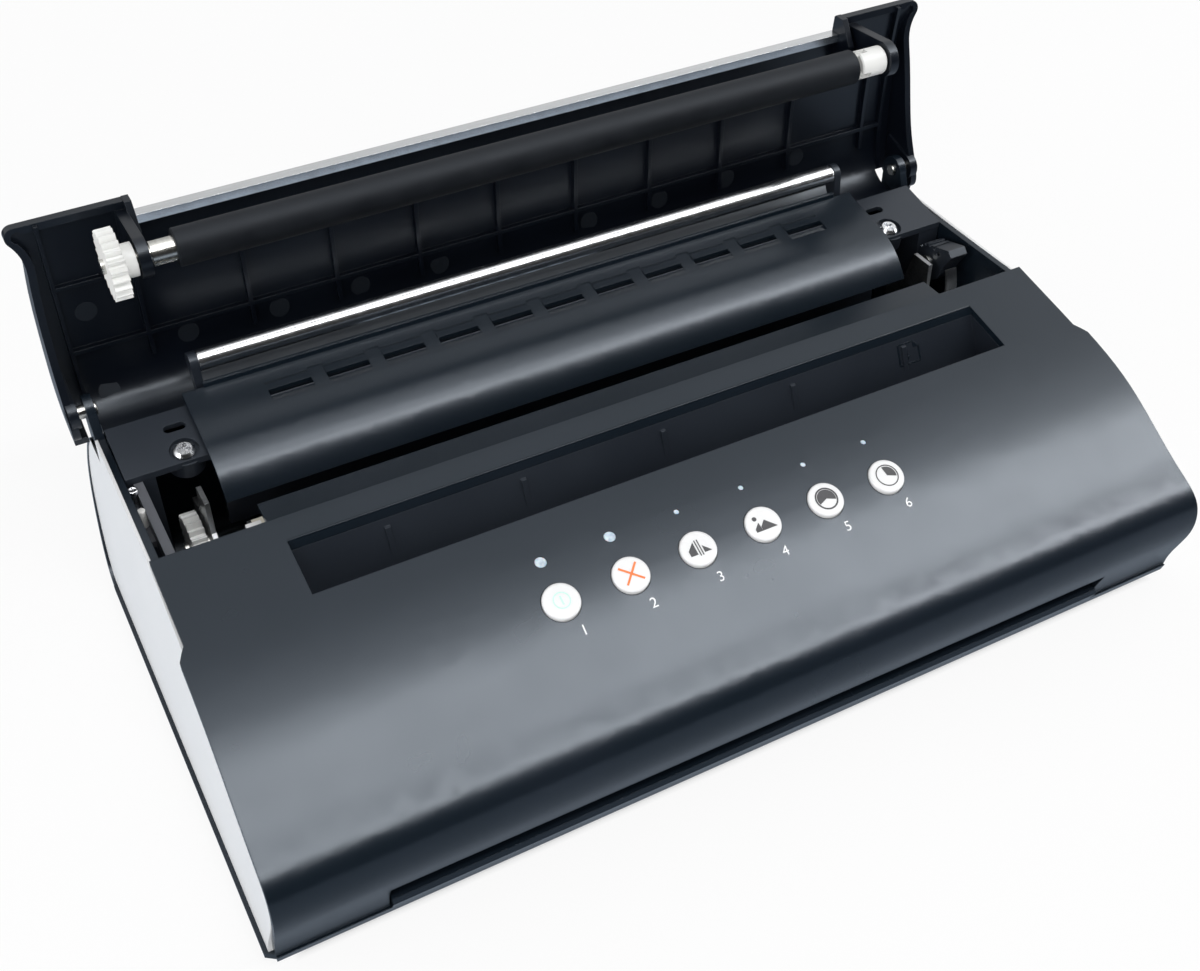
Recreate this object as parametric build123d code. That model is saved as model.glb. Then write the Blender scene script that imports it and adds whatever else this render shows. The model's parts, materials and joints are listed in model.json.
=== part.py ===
from build123d import *
from math import sin, cos, tan, pi, radians, degrees, atan2, hypot, acos, sqrt
import os

os.makedirs("parts", exist_ok=True)

# ------------------------------------------------------------------ datums
# Working datum: y = 0 at the lower front corner of the housing, z = 0 the table,
# x = 0 the middle of the machine.  save() moves the origin under the box centre.
MID_Y = 77.2
EPS = 0.5              # length a cutter runs past a face
HALF_W = 140.0         # half width at the rear of the deck
WALL = 2.2             # housing skin
SEAT = 0.15            # gap between pieces that lift off each other
RUN = 0.05             # radial running clearance of shafts
FOOT_H = 1.2           # rubber foot stands this far below the base

# hinge of the cover and the way it closes (cover drawn open)
HINGE_Y, HINGE_Z = 145.0, 72.5
CLOSE_DEG = 96.0
PIN_R = 2.0

# platen roller, cover open
ROLL_Y, ROLL_Z = 134.5, 121.6
ROLL_R = 5.25
SHAFT_R = 2.5
ROLL_HALF = 107.2

# deck
DECK_SLOPE = 12.1      # degrees, rear part of the deck
BTN_Y, BTN_Z, BTN_SLOPE = 29.5, 55.1, 22.5
BTN_X0, BTN_PITCH, BTN_R = -49.2, 20.42, 5.2
BTN_COUNT = 6
LED_Y = 41.2


def save(name, shape):
    export_step(Pos(0, -MID_Y, 0) * shape, f"parts/{name}.step")


def poly(pts):
    return make_face(Polyline(*pts, close=True))


def outline(curve_pts, corner_pts):
    """Face closed by one smooth curve and straight lines through the corners."""
    crv = Spline(*curve_pts)
    rest = Polyline(curve_pts[-1], *corner_pts, curve_pts[0])
    return make_face(crv + rest)


def side(face, x0, x1):
    """(y, z) face run along x from x0 to x1."""
    return extrude(Plane.YZ.offset(x0) * face, x1 - x0)


def front(face, y0, y1):
    """(x, z) face run along y from y0 to y1."""
    return extrude(Plane.XZ.offset(-y1) * face, y1 - y0)


def plan(face, z0, z1):
    """(x, y) face run up z from z0 to z1."""
    return extrude(Plane.XY.offset(z0) * face, z1 - z0)


def block(x0, x1, y0, y1, z0, z1):
    return Pos((x0 + x1) / 2, (y0 + y1) / 2, (z0 + z1) / 2) * Box(x1 - x0, y1 - y0, z1 - z0)


def rod_x(r, x0, x1, y, z):
    return Pos((x0 + x1) / 2, y, z) * Rot(0, 90, 0) * Cylinder(r, x1 - x0)


def rod_y(r, y0, y1, x, z):
    return Pos(x, (y0 + y1) / 2, z) * Rot(90, 0, 0) * Cylinder(r, y1 - y0)


def rod_z(r, z0, z1, x, y):
    return Pos(x, y, (z0 + z1) / 2) * Cylinder(r, z1 - z0)


def offset_curve(pts, d):
    """Points moved d to the left of the way the curve runs."""
    out = []
    for i, (y, z) in enumerate(pts):
        a, b = pts[max(i - 1, 0)], pts[min(i + 1, len(pts) - 1)]
        dy, dz = b[0] - a[0], b[1] - a[1]
        n = hypot(dy, dz)
        out.append((y - d * dz / n, z + d * dy / n))
    return out


def closed_at(y, z, deg=CLOSE_DEG):
    """Where a point of the open cover goes when the cover shuts."""
    a = radians(deg)
    dy, dz = y - HINGE_Y, z - HINGE_Z
    return HINGE_Y + dy * cos(a) - dz * sin(a), HINGE_Z + dy * sin(a) + dz * cos(a)


def circles_meet(c1, r1, c2, r2, pick):
    """Centre that is r1 from c1 and r2 from c2; pick +1 / -1 takes one side."""
    d = hypot(c2[0] - c1[0], c2[1] - c1[1])
    a = (r1 * r1 - r2 * r2 + d * d) / (2 * d)
    h = sqrt(r1 * r1 - a * a)
    ux, uy = (c2[0] - c1[0]) / d, (c2[1] - c1[1]) / d
    return c1[0] + a * ux - pick * h * uy, c1[1] + a * uy + pick * h * ux


def head_screw(r, h, turn=0.0):
    """Pan head with a cross recess, head up, seat at z = 0."""
    top = Cylinder(r, h, align=(Align.CENTER, Align.CENTER, Align.MIN))
    top = chamfer(top.edges().group_by(Axis.Z)[-1], h * 0.45)
    slot = Box(r * 1.25, r * 0.3, h, align=(Align.CENTER, Align.CENTER, Align.MIN))
    cross = slot + Rot(0, 0, 90) * slot
    return Rot(0, 0, turn) * (top - Pos(0, 0, h * 0.5) * cross)


# ------------------------------------------------------------------ body outline
TOP = [(80.5, 68.6), (53.4, 62.8), (29.6, 55.1), (13.3, 45.4), (3.4, 39.6),
       (-4.9, 33.6), (-6.4, 27.2), (-3.9, 16.8), (0.2, 4.2)]
HOUSE_TOP_W, HOUSE_LOW_W = 142.3, 144.0       # front part of the housing, half widths
REAR = [(148.0, FOOT_H), (157.0, 5.6), (161.2, 15.0), (162.9, 28.0), (161.3, 40.5),
        (156.0, 52.0), (150.6, 59.0), (147.0, 61.6)]
LIP_END = (88.7, 68.2)                        # rear edge of the middle of the deck


def half_at(z):
    """Half width of the front part of the housing at height z."""
    return HOUSE_LOW_W + (HOUSE_TOP_W - HOUSE_LOW_W) * (z - 4.0) / 58.0


top_in = offset_curve(TOP, WALL)
skin_face = make_face(Spline(*TOP) + Polyline(TOP[-1], top_in[-1]) + Spline(*top_in)
                      + Polyline(top_in[0], TOP[0]))
body_face = outline(TOP, [(TOP[0][0], TOP[-1][1])])
inner_face = outline(top_in, [(top_in[0][0], top_in[-1][1])])

# front view limits of the housing, splayed towards the table
splay = poly([(-half_at(0), 0), (half_at(0), 0), (half_at(75), 75), (-half_at(75), 75)])

# ------------------------------------------------------------------ top housing
CHEEK_X = 137.2                                # inner side walls of the base
housing = side(skin_face, -150, 150) & front(splay, -15, 95)
# the deck runs on between the two bays as a thin lip
lip = side(poly([(79.0, 68.28 - WALL), (79.0, 68.28), LIP_END, (LIP_END[0], LIP_END[1] - 1.6)]), -108.8, 108.8)
housing += lip
# rear part of each side is set in, with a short sweep where the cover tips land
STEP_Y0, STEP_Y1, SET_IN = 49.6, 53.6, 139.95
for s in (-1, 1):
    swept = Spline((s * (half_at(62) + 0.4), STEP_Y0 - 1.0), (s * 141.6, STEP_Y0 + 1.2), (s * SET_IN, STEP_Y1))
    rest = Polyline((s * SET_IN, STEP_Y1), (s * SET_IN, 90), (s * 152, 90), (s * 152, STEP_Y0 - 1.0),
                    (s * (half_at(62) + 0.4), STEP_Y0 - 1.0))
    housing -= plan(make_face(swept + rest), 30, 80)

# paper trough opening in the deck
TRO_X0, TRO_X1 = -106.3, 114.3
TRO_REAR, TRO_FRONT = (72.7, 67.0), (54.9, 63.2)
THROAT_F, THROAT_R, THROAT_Z = 57.4, 62.0, 44.5
trough_hole = poly([(TRO_REAR[0] + 1.4, TRO_REAR[1] + 3.0), TRO_REAR, (THROAT_R, THROAT_Z),
                    (THROAT_F, THROAT_Z), TRO_FRONT, (TRO_FRONT[0] - 0.3, TRO_FRONT[1] + 5.0)])
housing -= side(trough_hole, TRO_X0, TRO_X1)

# buttons and lamps
btn_plane = Pos(0, BTN_Y, BTN_Z) * Rot(BTN_SLOPE, 0, 0)
BTN_GAP = 0.2
btn_x = [BTN_X0 + i * BTN_PITCH for i in range(BTN_COUNT)]
for x in btn_x:
    housing -= btn_plane * Pos(x, 0, 0) * Cylinder(BTN_R + BTN_GAP, 14)
LED_Z, LED_SLOPE = 59.2, 17.0
led_plane = Pos(0, LED_Y, LED_Z) * Rot(LED_SLOPE, 0, 0)
LED_R = [1.7, 1.7, 0.85, 0.85, 0.85, 0.85]
for x, r in zip(btn_x, LED_R):
    housing -= led_plane * Pos(x, 0, 0) * Cylinder(r, 12)

# output slot in the lower front, 228 wide
SLOT_HALF, SLOT_Z1 = 114.0, 15.6
housing -= block(-SLOT_HALF, SLOT_HALF, -12, 8, 0, SLOT_Z1)
# inner ribs that stiffen the deck, and four screw bosses standing on the base
RIB_T = 1.6
rib_under = inner_face & poly([(8, 30), (52, 30), (52, 70), (8, 70)])
for x in (-92, -66, 66, 92):
    rib = side(rib_under, x, x + RIB_T) - block(-150, 150, 0, 60, 0, 46.0)
    housing += rib
BOSS = [(-132.6, 24.0), (132.6, 24.0), (-132.6, 70.0), (132.6, 70.0)]
for x, y in BOSS:
    top = 52.2 if y < 40 else 66.3
    boss = rod_z(3.4, 30.0, top + 4.0, x, y) & side(inner_face, -150, 150)
    housing += boss
for x, y in BOSS:
    housing -= rod_z(1.25, 29.0, 44.0, x, y)
# short bosses that hold the key board under the deck
for x in (-57.0, 60.5):
    for y in (-5.0, 13.0):
        housing += btn_plane * Pos(x, y, -4.7) * Cylinder(2.2, 4.6)
save("top_housing", housing)

# ------------------------------------------------------------------ feed trough
T_W = 1.6
chute_out = poly([(TRO_REAR[0] + 1.55, 64.95), (THROAT_R + T_W + 0.2, THROAT_Z),
                  (THROAT_F - T_W, THROAT_Z), (TRO_FRONT[0] - T_W, 60.55)])
chute = side(chute_out, TRO_X0 - T_W, TRO_X1 + T_W) - side(trough_hole, TRO_X0, TRO_X1)
chute -= side(skin_face, -150, 150)
for x in (-80.0, -40.0, 4.0, 48.0, 88.0):
    chute += side(poly([(THROAT_R + 1.4, 45.0), (THROAT_R + 6.0, 45.0), (71.0, 62.4), (69.6, 62.4)]), x - 0.8, x + 0.8)
chute -= side(skin_face, -150, 150)
save("feed_trough", chute)

# ------------------------------------------------------------------ base tray
BASE_HALF = 146.3
BASE_T = 2.0
FLOOR_Z = FOOT_H + BASE_T
rear_in = offset_curve(REAR, WALL)
bed_half = BASE_HALF
bed = plan(poly([(-bed_half, 3.2), (-bed_half + 3, 1.0), (bed_half - 3, 1.0), (bed_half, 3.2),
                 (bed_half, 149.0), (-bed_half, 149.0)]), FOOT_H, FLOOR_Z)
rear_face = make_face(Spline(*REAR) + Polyline(REAR[-1], rear_in[-1]) + Spline(*rear_in)
                      + Polyline(rear_in[0], REAR[0]))


def splay_body(z):
    return 146.3 - 0.094 * z


full = poly([(-splay_body(0), 0), (splay_body(0), 0), (splay_body(75), 75), (-splay_body(75), 75)])
rear_wall = side(rear_face, -150, 150) & front(full, 100, 180)
base = bed + rear_wall
# front lip below the output slot
base += side(poly([(0.6, FOOT_H), (-0.4, 4.05), (2.4, 4.05), (2.4, FOOT_H)]), -143.9, 143.9)
sill = side(poly([(-2.2, 7.4), (-1.6, 9.0), (16.0, 10.4), (16.0, FLOOR_Z - 0.4), (13.8, FLOOR_Z - 0.4), (13.8, 8.3),
                  (1.2, 7.2), (1.2, 4.05), (-0.4, 4.05)]), -113.6, 113.6)
base += sill
# inner cheeks that carry the white panels and the hinge
cheek_out = [(4.4, FLOOR_Z - 0.5), (-1.0, 17.0), (-3.4, 27.4), (-2.2, 31.2), (5.0, 37.0), (14.8, 42.8),
             (31.0, 52.2), (54.3, 60.0), (80.2, 65.6)]
cheek_face = make_face(Spline(*cheek_out) + Polyline(
    (80.2, 65.6), (82.0, 66.3), (138.0, 66.3), (140.4, 64.6), (148.3, 59.2)) + Spline(
    (148.3, 59.2), (154.6, 50.6), (159.2, 39.8), (160.7, 28.0), (159.1, 15.8), (155.6, 7.6), (148.6, FLOOR_Z - 0.5))
    + Polyline((148.6, FLOOR_Z - 0.5), (4.4, FLOOR_Z - 0.5)))
CHEEK_T = 2.0
ear = Pos(HINGE_Y, HINGE_Z) * Circle(4.6) + poly([(HINGE_Y - 4.6, HINGE_Z), (HINGE_Y + 4.6, HINGE_Z),
                                                 (150.0, 57.0), (134.0, 57.0)])
for s in (-1, 1):
    x0 = CHEEK_X if s > 0 else -CHEEK_X - CHEEK_T
    base += side(cheek_face, x0, x0 + CHEEK_T)
    base += side(ear, x0 if s > 0 else x0 - 0.6, (x0 + CHEEK_T + 0.6) if s > 0 else x0 + CHEEK_T)
for s in (-1, 1):
    base -= rod_x(PIN_R, s * 140.5 - 4.5, s * 140.5 + 4.5, HINGE_Y, HINGE_Z)
# rebate that takes the edge of each white panel
panel_out = [(2.9, 4.6), (-1.9, 17.4), (-4.0, 27.3), (-2.8, 31.9), (4.6, 37.8), (14.4, 43.5),
             (30.6, 52.9), (54.1, 60.3), (80.3, 66.0)]
panel_face = make_face(Spline(*panel_out) + Polyline((80.3, 66.0), (138.0, 66.9)) + Spline(
    (138.0, 66.9), (147.4, 60.4), (155.0, 51.0), (159.9, 40.0), (161.4, 28.0), (159.7, 15.6), (155.9, 7.0), (150.5, FLOOR_Z))
    + Polyline((150.5, FLOOR_Z), (2.9, FLOOR_Z), (2.9, 4.6)))
PAN_IN = CHEEK_X + CHEEK_T
for s in (-1, 1):
    base -= side(panel_face, *sorted((s * PAN_IN, s * 150.0)))
for s in (-1, 1):
    x0 = CHEEK_X if s > 0 else -CHEEK_X - CHEEK_T
    base += side(ear, x0 if s > 0 else x0 - 0.6, (x0 + CHEEK_T + 0.6) if s > 0 else x0 + CHEEK_T)
for s in (-1, 1):
    base -= rod_x(PIN_R, s * 140.5 - 4.5, s * 140.5 + 4.5, HINGE_Y, HINGE_Z)
# screw posts and the floor ribs
for x, y in BOSS:
    base += rod_z(4.2, FLOOR_Z - 0.4, 30.0 - SEAT, x, y) - rod_z(1.7, 0, 40, x, y)
for x, y in BOSS:
    base -= rod_z(1.7, 0, 12.0, x, y)
    base -= rod_z(3.1, 0, 3.0, x, y)
for y in (88.0, 112.0):
    base += block(-96, 96, y, y + 1.6, FLOOR_Z - 0.3, FLOOR_Z + 4.0)
# pads for the scan bar, posts for the head springs, shelf for the inlet
SCAN_Y0, SCAN_Y1, SCAN_Z0 = 36.0, 54.0, 17.0
for x in (-96.0, 96.0):
    base += block(x - 5, x + 5, SCAN_Y0 + 3, SCAN_Y1 - 3, FLOOR_Z - 0.3, SCAN_Z0)
SPRING_X, SPRING_Y, SPRING_Z0, SPRING_Z1 = (-84.0, 0.0, 92.0), 98.0, 30.0, 41.5
for x in SPRING_X:
    base += rod_z(4.4, FLOOR_Z - 0.3, SPRING_Z0, x, SPRING_Y)
    base += rod_z(1.6, SPRING_Z0 - 0.5, SPRING_Z0 + 4.0, x, SPRING_Y)
base += block(86.0, 98.0, 147.0, 157.0, FLOOR_Z - 0.3, 17.0 - 6.0)
# vents under the board, and the inlet opening in the rear wall
for i in range(9):
    base -= block(-44 + i * 11, -38 + i * 11, 118, 140, 0, FLOOR_Z + 0.1)
INLET_X, INLET_Z = 92.0, 17.0
INLET_W, INLET_H = 11.0, 12.0
base -= block(INLET_X - INLET_W / 2 - SEAT, INLET_X + INLET_W / 2 + SEAT, 155.0, 170.0,
              INLET_Z - INLET_H / 2 - SEAT, INLET_Z + INLET_H / 2 + SEAT)
save("base_tray", base)

# ------------------------------------------------------------------ white side panels
PAN_T = 2.0
slant_out = [(PAN_IN, 1.0), (splay_body(1.0) - 0.9, 1.0), (splay_body(68) + 0.05, 68.0), (PAN_IN, 68.0)]
slant_in = [(PAN_IN - 1, 1.0), (splay_body(1.0) - 0.9 - PAN_T, 1.0), (PAN_IN + 0.01, 58.0), (PAN_IN - 1, 58.0)]
for s, name in ((-1, "side_panel_left"), (1, "side_panel_right")):
    panel = side(panel_face, -150, 0) if s < 0 else side(panel_face, 0, 150)
    panel = panel & front(poly([(s * x, z) for x, z in slant_out]), -15, 175)
    pocket = side(poly([(7.0, 6.0), (3.0, 27.0), (16.0, 38.0), (44.0, 52.0), (84.0, 57.5), (140.0, 57.5),
                        (155.5, 40.0), (156.5, 26.0), (151.0, 6.0)]), -150, 150)
    pocket = pocket & front(poly([(s * x, z) for x, z in slant_in]), -15, 175)
    for y in (28.0, 64.0, 100.0, 134.0):
        pocket -= block(-150, 150, y, y + 1.4, 0, 70)
    panel -= pocket
    panel -= side(Pos(HINGE_Y, HINGE_Z) * Circle(4.6 + SEAT) + poly([
        (HINGE_Y - 4.6 - SEAT, HINGE_Z), (HINGE_Y + 4.6 + SEAT, HINGE_Z), (150.2, 57.0 - SEAT), (133.8, 57.0 - SEAT)]),
        s * 138.5 - 2.0, s * 138.5 + 2.0)
    # nothing of the panel lies inside the splayed housing skin
    panel -= side(skin_face, -150, 150) & front(splay, -15, 95)
    save(name, panel)

# ------------------------------------------------------------------ rear frame (plateau)
PL_Y0, PL_Y1, PL_X = 117.0, 136.2, 137.0
PL_SLOPE = 0.214
LEG_X0, LEG_X1 = 129.0, 136.8


def plateau_z(y):
    return 67.6 + (y - 121.3) * PL_SLOPE


fr_face = poly([(PL_Y0, plateau_z(PL_Y0)), (PL_Y1, plateau_z(PL_Y1)), (PL_Y1, plateau_z(PL_Y1) - 5.0),
                (PL_Y1 - 2, plateau_z(PL_Y1) - 5.0), (PL_Y1 - 2, plateau_z(PL_Y1) - 2), (PL_Y0, plateau_z(PL_Y0) - 2)])
frame_top = side(fr_face, -PL_X, PL_X)
# front skirt below the guide, side legs down to the base floor
frame_top += side(poly([(117.0, 40.0), (118.8, 40.0), (118.8, 66.2), (117.0, 66.2)]), -112.0, 112.0)
for s in (-1, 1):
    frame_top += block(*sorted((s * LEG_X0, s * LEG_X1)), PL_Y0 + 0.2, PL_Y0 + 2.2, FLOOR_Z, 66.4)
    frame_top += block(*sorted((s * LEG_X0, s * (LEG_X0 + 2))), PL_Y0 + 2.2, PL_Y1, FLOOR_Z, 66.6)
for x in (-70.0, 0.0, 70.0):
    frame_top += block(x - 1, x + 1, 118.8, 134.2, 60.0, 66.6)
SCR_X, SCR_Y, OVAL_Y = 119.2, 121.3, 129.7
tilt = degrees(atan2(PL_SLOPE, 1))
for s in (-1, 1):
    seat = Pos(s * SCR_X, SCR_Y, plateau_z(SCR_Y)) * Rot(tilt, 0, 0)
    frame_top += seat * Pos(0, 0, -3.7) * Cylinder(5.2, 5.4)
    frame_top -= seat * Pos(0, 0, 1.0) * Cylinder(4.1, 5.0)
    frame_top -= seat * Pos(0, 0, -3) * Cylinder(1.6, 12.0)
    hole = Pos(s * SCR_X, OVAL_Y, plateau_z(OVAL_Y)) * Rot(tilt, 0, 0)
    frame_top -= hole * extrude(SlotOverall(6.4, 2.8), 6, both=True)
# vents in the rear of the plateau under the cover toe
save("rear_frame", frame_top)

# ------------------------------------------------------------------ windowed paper guide
GD_HALF, GD_T = 113.9, 1.8
GD = [(137.6, 74.0), (127.0, 71.75), (118.0, 69.75), (112.4, 67.6), (108.2, 64.4), (105.2, 61.0), (103.9, 59.0)]
gd_in = offset_curve(GD, GD_T)
guide_face = make_face(Spline(*GD) + Polyline(GD[-1], gd_in[-1]) + Spline(*gd_in) + Polyline(gd_in[0], GD[0]))
guide = side(guide_face, -GD_HALF, GD_HALF)
WIN_N, WIN_PITCH, WIN_X0, WIN_W, WIN_Y = 11, 17.55, -84.9, 13.0, 128.8
GD_TILT = degrees(atan2(GD[0][1] - GD[2][1], GD[0][0] - GD[2][0]))
for i in range(WIN_N):
    at = Pos(WIN_X0 + i * WIN_PITCH, WIN_Y, GD[1][1] + (WIN_Y - GD[1][0]) * tan(radians(GD_TILT))) * Rot(GD_TILT, 0, 0)
    guide -= at * Box(WIN_W, 1.9, 10)
    guide -= at * Pos(0, -2.15, 0.1) * Rot(-14, 0, 0) * Box(WIN_W, 2.6, 1.5)
    guide -= at * Pos(0, 3.6, 0.3) * Box(WIN_W, 0.7, 1.7)
    if i < WIN_N - 1:
        guide -= at * Pos(WIN_PITCH / 2, 0.6, 0.3) * Box(WIN_PITCH - WIN_W, 8.6, 1.7)
# raised rear lip, and ribs that stand the guide on the frame
guide += side(poly([(137.0, 72.2), (138.2, 72.4), (138.2, 75.6), (137.2, 75.4)]), -107.6, 107.6)


def guide_rib(x):
    body = side(poly([(118.8, 66.9), (136.0, 70.5), (136.6, 72.8), (127.0, 70.9), (118.8, 69.0)]), x - 0.8, x + 0.8)
    return body - side(poly([(100, 0), (150, 0), (PL_Y1 + 20, plateau_z(PL_Y1 + 20)), (100, plateau_z(100))]), -150, 150)


for x in (-112.6, -95.0, -58.0, -22.8, 12.0, 47.4, 82.0, 112.6):
    guide += guide_rib(x)
for i in range(WIN_N):
    at = Pos(WIN_X0 + i * WIN_PITCH, WIN_Y, GD[1][1] + (WIN_Y - GD[1][0]) * tan(radians(GD_TILT))) * Rot(GD_TILT, 0, 0)
    guide -= at * Box(WIN_W, 1.9, 10)
save("paper_guide", guide)

# ------------------------------------------------------------------ polished guide rod
BAR_Y, BAR_Z, BAR_R, BAR_X0, BAR_X1 = 142.6, 79.6, 2.9, -107.0, 109.0
bar = rod_x(BAR_R, BAR_X0, BAR_X1, BAR_Y, BAR_Z)
bar = chamfer(bar.edges().filter_by(GeomType.CIRCLE), 0.4)
save("guide_rod", bar)

# rod brackets on the rear frame
BR_T = 2.4
brackets = None
for x in (BAR_X0 - BR_T, BAR_X1):
    arm = Pos(BAR_Y, BAR_Z) * Circle(3.2) + poly([(PL_Y1, 66.0), (PL_Y1, 70.3), (138.9, 71.8), (139.5, 79.6), (145.7, 79.6),
                                                  (144.0, 74.0), (140.0, 67.0)])
    one = side(arm, x, x + BR_T)
    brackets = one if brackets is None else brackets + one
save("rod_brackets", brackets)

# ------------------------------------------------------------------ cover (drawn open)
COV_T = 2.2
COV_TOP = 128.8
NOTCH_X0, NOTCH_X1, NOTCH_Z = -112.6, 115.2, 120.6
inner_back = [(153.6, 129.4), (155.6, 114.0), (156.9, 97.0), (157.2, 82.0), (156.4, 74.6), (153.4, 68.6), (149.0, 65.8), (143.4, 64.9)]
outer_back = offset_curve(inner_back, COV_T)
edge_front = [(143.4, 64.9), (141.4, 66.6), (142.6, 74.0), (146.0, 82.5), (149.0, 96.0), (151.6, 114.0), (153.0, 124.0),
              (153.6, 129.4)]
back_face = make_face(Spline(*inner_back) + Polyline(inner_back[-1], outer_back[-1]) + Spline(*outer_back)
                      + Polyline(outer_back[0], inner_back[0]))
rim_face = make_face(Spline(*edge_front) + Polyline(edge_front[-1], outer_back[0]) + Spline(*outer_back)
                     + Polyline(outer_back[-1], edge_front[0]))


def cover_view(inset):
    """Front view of the cover, its side edges swept out at the tips."""
    d = inset
    left = [(-144.9 + d, 60.0), (-144.7 + d, 90.0), (-143.5 + d, 112.0), (-143.2 + d, 117.0), (-145.6 + d, 123.6)]
    tip = [(-145.6 + d, 123.6), (-146.0 + d, 126.4), (-143.6 + d, COV_TOP - 0.8 - d)]
    r_left = [(-x, z) for x, z in reversed(left)]
    r_tip = [(-x, z) for x, z in reversed(tip)]
    e = (Spline(*left) + ThreePointArc(*tip) + Polyline(tip[-1], r_tip[0]) + ThreePointArc(*r_tip)
         + Spline(*r_left) + Polyline(r_left[-1], left[0]))
    return make_face(e)


cover = side(back_face, -150, 150) & front(cover_view(0), 120, 175)
rim_solid = (side(rim_face, -150, 150) & front(cover_view(0), 120, 175)) - front(cover_view(COV_T), 120, 175)
rim_solid -= block(NOTCH_X0, NOTCH_X1, 120, 175, 110, 140)
rim_solid -= block(-141, 141, 120, 175, 55, 110)
cover += rim_solid
cover -= block(NOTCH_X0, NOTCH_X1, 120, 175, NOTCH_Z, 140)
# return walls of the two lobes, with the edge beside the notch
RET_T = 2.0
ret_l = side(poly([(157.0, 112.0), (151.8, 112.6), (147.6, 117.0), (147.0, 121.0), (151.8, 128.4), (155.6, 128.4)]), NOTCH_X0 - RET_T + 0.05, NOTCH_X0)
ret_r = side(poly([(157.0, 112.0), (151.8, 112.6), (147.6, 117.0), (147.0, 121.0), (151.8, 128.4), (155.6, 128.4)]), NOTCH_X1, NOTCH_X1 + RET_T - 0.05)
cover += ret_l + ret_r
# ears that carry the platen roller
EAR_T = 3.0
EAR_L, EAR_R = -117.3, 118.3
ear_face = Pos(ROLL_Y, ROLL_Z) * Circle(5.6) + poly([(ROLL_Y + 1.0, ROLL_Z + 5.5), (157.2, 125.4), (157.6, 108.0),
                                                    (ROLL_Y + 1.6, ROLL_Z - 5.36)])
for x in (EAR_L, EAR_R):
    cover += side(ear_face, x, x + EAR_T)
JOURNAL_R = 2.0
for x in (EAR_L, EAR_R):
    cover -= rod_x(JOURNAL_R + RUN, x - 1, x + EAR_T + 1, ROLL_Y, ROLL_Z)
# stiffening ribs on the inside
RIB_H, RIB_W = 1.8, 1.3
rib_in = [(y - RIB_H, z) for y, z in inner_back]
rib_face = make_face(Spline(*inner_back) + Polyline(inner_back[-1], rib_in[-1]) + Spline(*rib_in)
                     + Polyline(rib_in[0], inner_back[0]))
RIB_Z = 84.6
long_rib = side(rib_face, -138.4, 138.4) & block(-140, 140, 120, 175, RIB_Z - RIB_W / 2, RIB_Z + RIB_W / 2)
cover += long_rib
rib_x = [-116.0, -85.7, -59.0, -32.4, -5.8, 20.8, 47.4, 74.0, 100.6, 130.4]
for x in rib_x:
    cover += side(rib_face, x - RIB_W / 2, x + RIB_W / 2) & block(-150, 150, 120, 175, 77.5, 113.0)
for s in (-1, 1):
    cover += side(rib_face, s * 137.9 - 0.6, s * 137.9 + 0.6) & block(-150, 150, 120, 175, 67.0, 127.4)
cover += side(rib_face, -137.9, -125.0) & block(-150, 150, 120, 175, 105.6, 106.8)
# knuckle round each hinge pin
for s in (-1, 1):
    x0 = 141.9 if s > 0 else -144.6
    knuckle = side(Pos(HINGE_Y, HINGE_Z) * Circle(4.4) + poly([(145.0, 76.9), (155.0, 80.0), (156.0, 70.0), (145.0, 68.1)]),
                   x0, x0 + 2.7)
    cover += knuckle & front(cover_view(0), 120, 175)
for s in (-1, 1):
    x0, x1 = sorted((s * 136.6, s * 141.0))
    cover -= block(x0, x1, 120.0, 153.5, 55.0, 71.5) + block(x0, x1, 150.0, 160.0, 55.0, 68.5)
    cover -= rod_x(5.4, x0, x1, HINGE_Y, HINGE_Z)
for s in (-1, 1):
    cover -= rod_x(PIN_R + RUN, s * 143.4 - 2.5, s * 143.4 + 2.5, HINGE_Y, HINGE_Z)
save("cover", cover)

pins = None
for s in (-1, 1):
    pin = rod_x(PIN_R, *sorted((s * 136.4, s * 144.4)), HINGE_Y, HINGE_Z)
    pin = chamfer(pin.edges().filter_by(GeomType.CIRCLE), 0.3)
    pins = pin if pins is None else pins + pin
save("hinge_pins", pins)

# bright tear strip on the notch edge
STRIP_H = 2.4
strip = side(poly([(153.0, NOTCH_Z), (157.2, NOTCH_Z), (157.0, NOTCH_Z + STRIP_H), (153.2, NOTCH_Z + STRIP_H)]),
             NOTCH_X0 + SEAT, NOTCH_X1 - SEAT)
save("tear_strip", strip)

# ------------------------------------------------------------------ platen roller
rubber = rod_x(ROLL_R, -ROLL_HALF, ROLL_HALF, ROLL_Y, ROLL_Z) - rod_x(SHAFT_R, -120, 120, ROLL_Y, ROLL_Z)
rubber = chamfer(rubber.edges().filter_by(GeomType.CIRCLE).group_by(SortBy.RADIUS)[-1], 0.35)
save("platen_rubber", rubber)
shaft = rod_x(SHAFT_R, EAR_L + EAR_T + 0.3, EAR_R - 0.3, ROLL_Y, ROLL_Z)
shaft += rod_x(3.4, -ROLL_HALF - 6.4, -ROLL_HALF, ROLL_Y, ROLL_Z)
shaft += rod_x(JOURNAL_R, -126.6, EAR_R + EAR_T + 1.0, ROLL_Y, ROLL_Z)
save("platen_shaft", shaft)

# white bush with a notch, fast on the shaft beside the right ear
BUSH_X0 = ROLL_HALF + 1.6
bush = rod_x(4.4, BUSH_X0, EAR_R - 0.3, ROLL_Y, ROLL_Z) - rod_x(SHAFT_R, 100, 130, ROLL_Y, ROLL_Z)
bush = chamfer(bush.edges().filter_by(GeomType.CIRCLE).group_by(SortBy.RADIUS)[-1], 0.4)
for k in range(3):
    bush -= Pos(0, ROLL_Y, ROLL_Z) * Rot(120 * k, 0, 0) * block(BUSH_X0 - 1, BUSH_X0 + 3.2, -1.0, 1.0, 2.9, 6.0)
save("platen_bush", bush)


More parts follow.
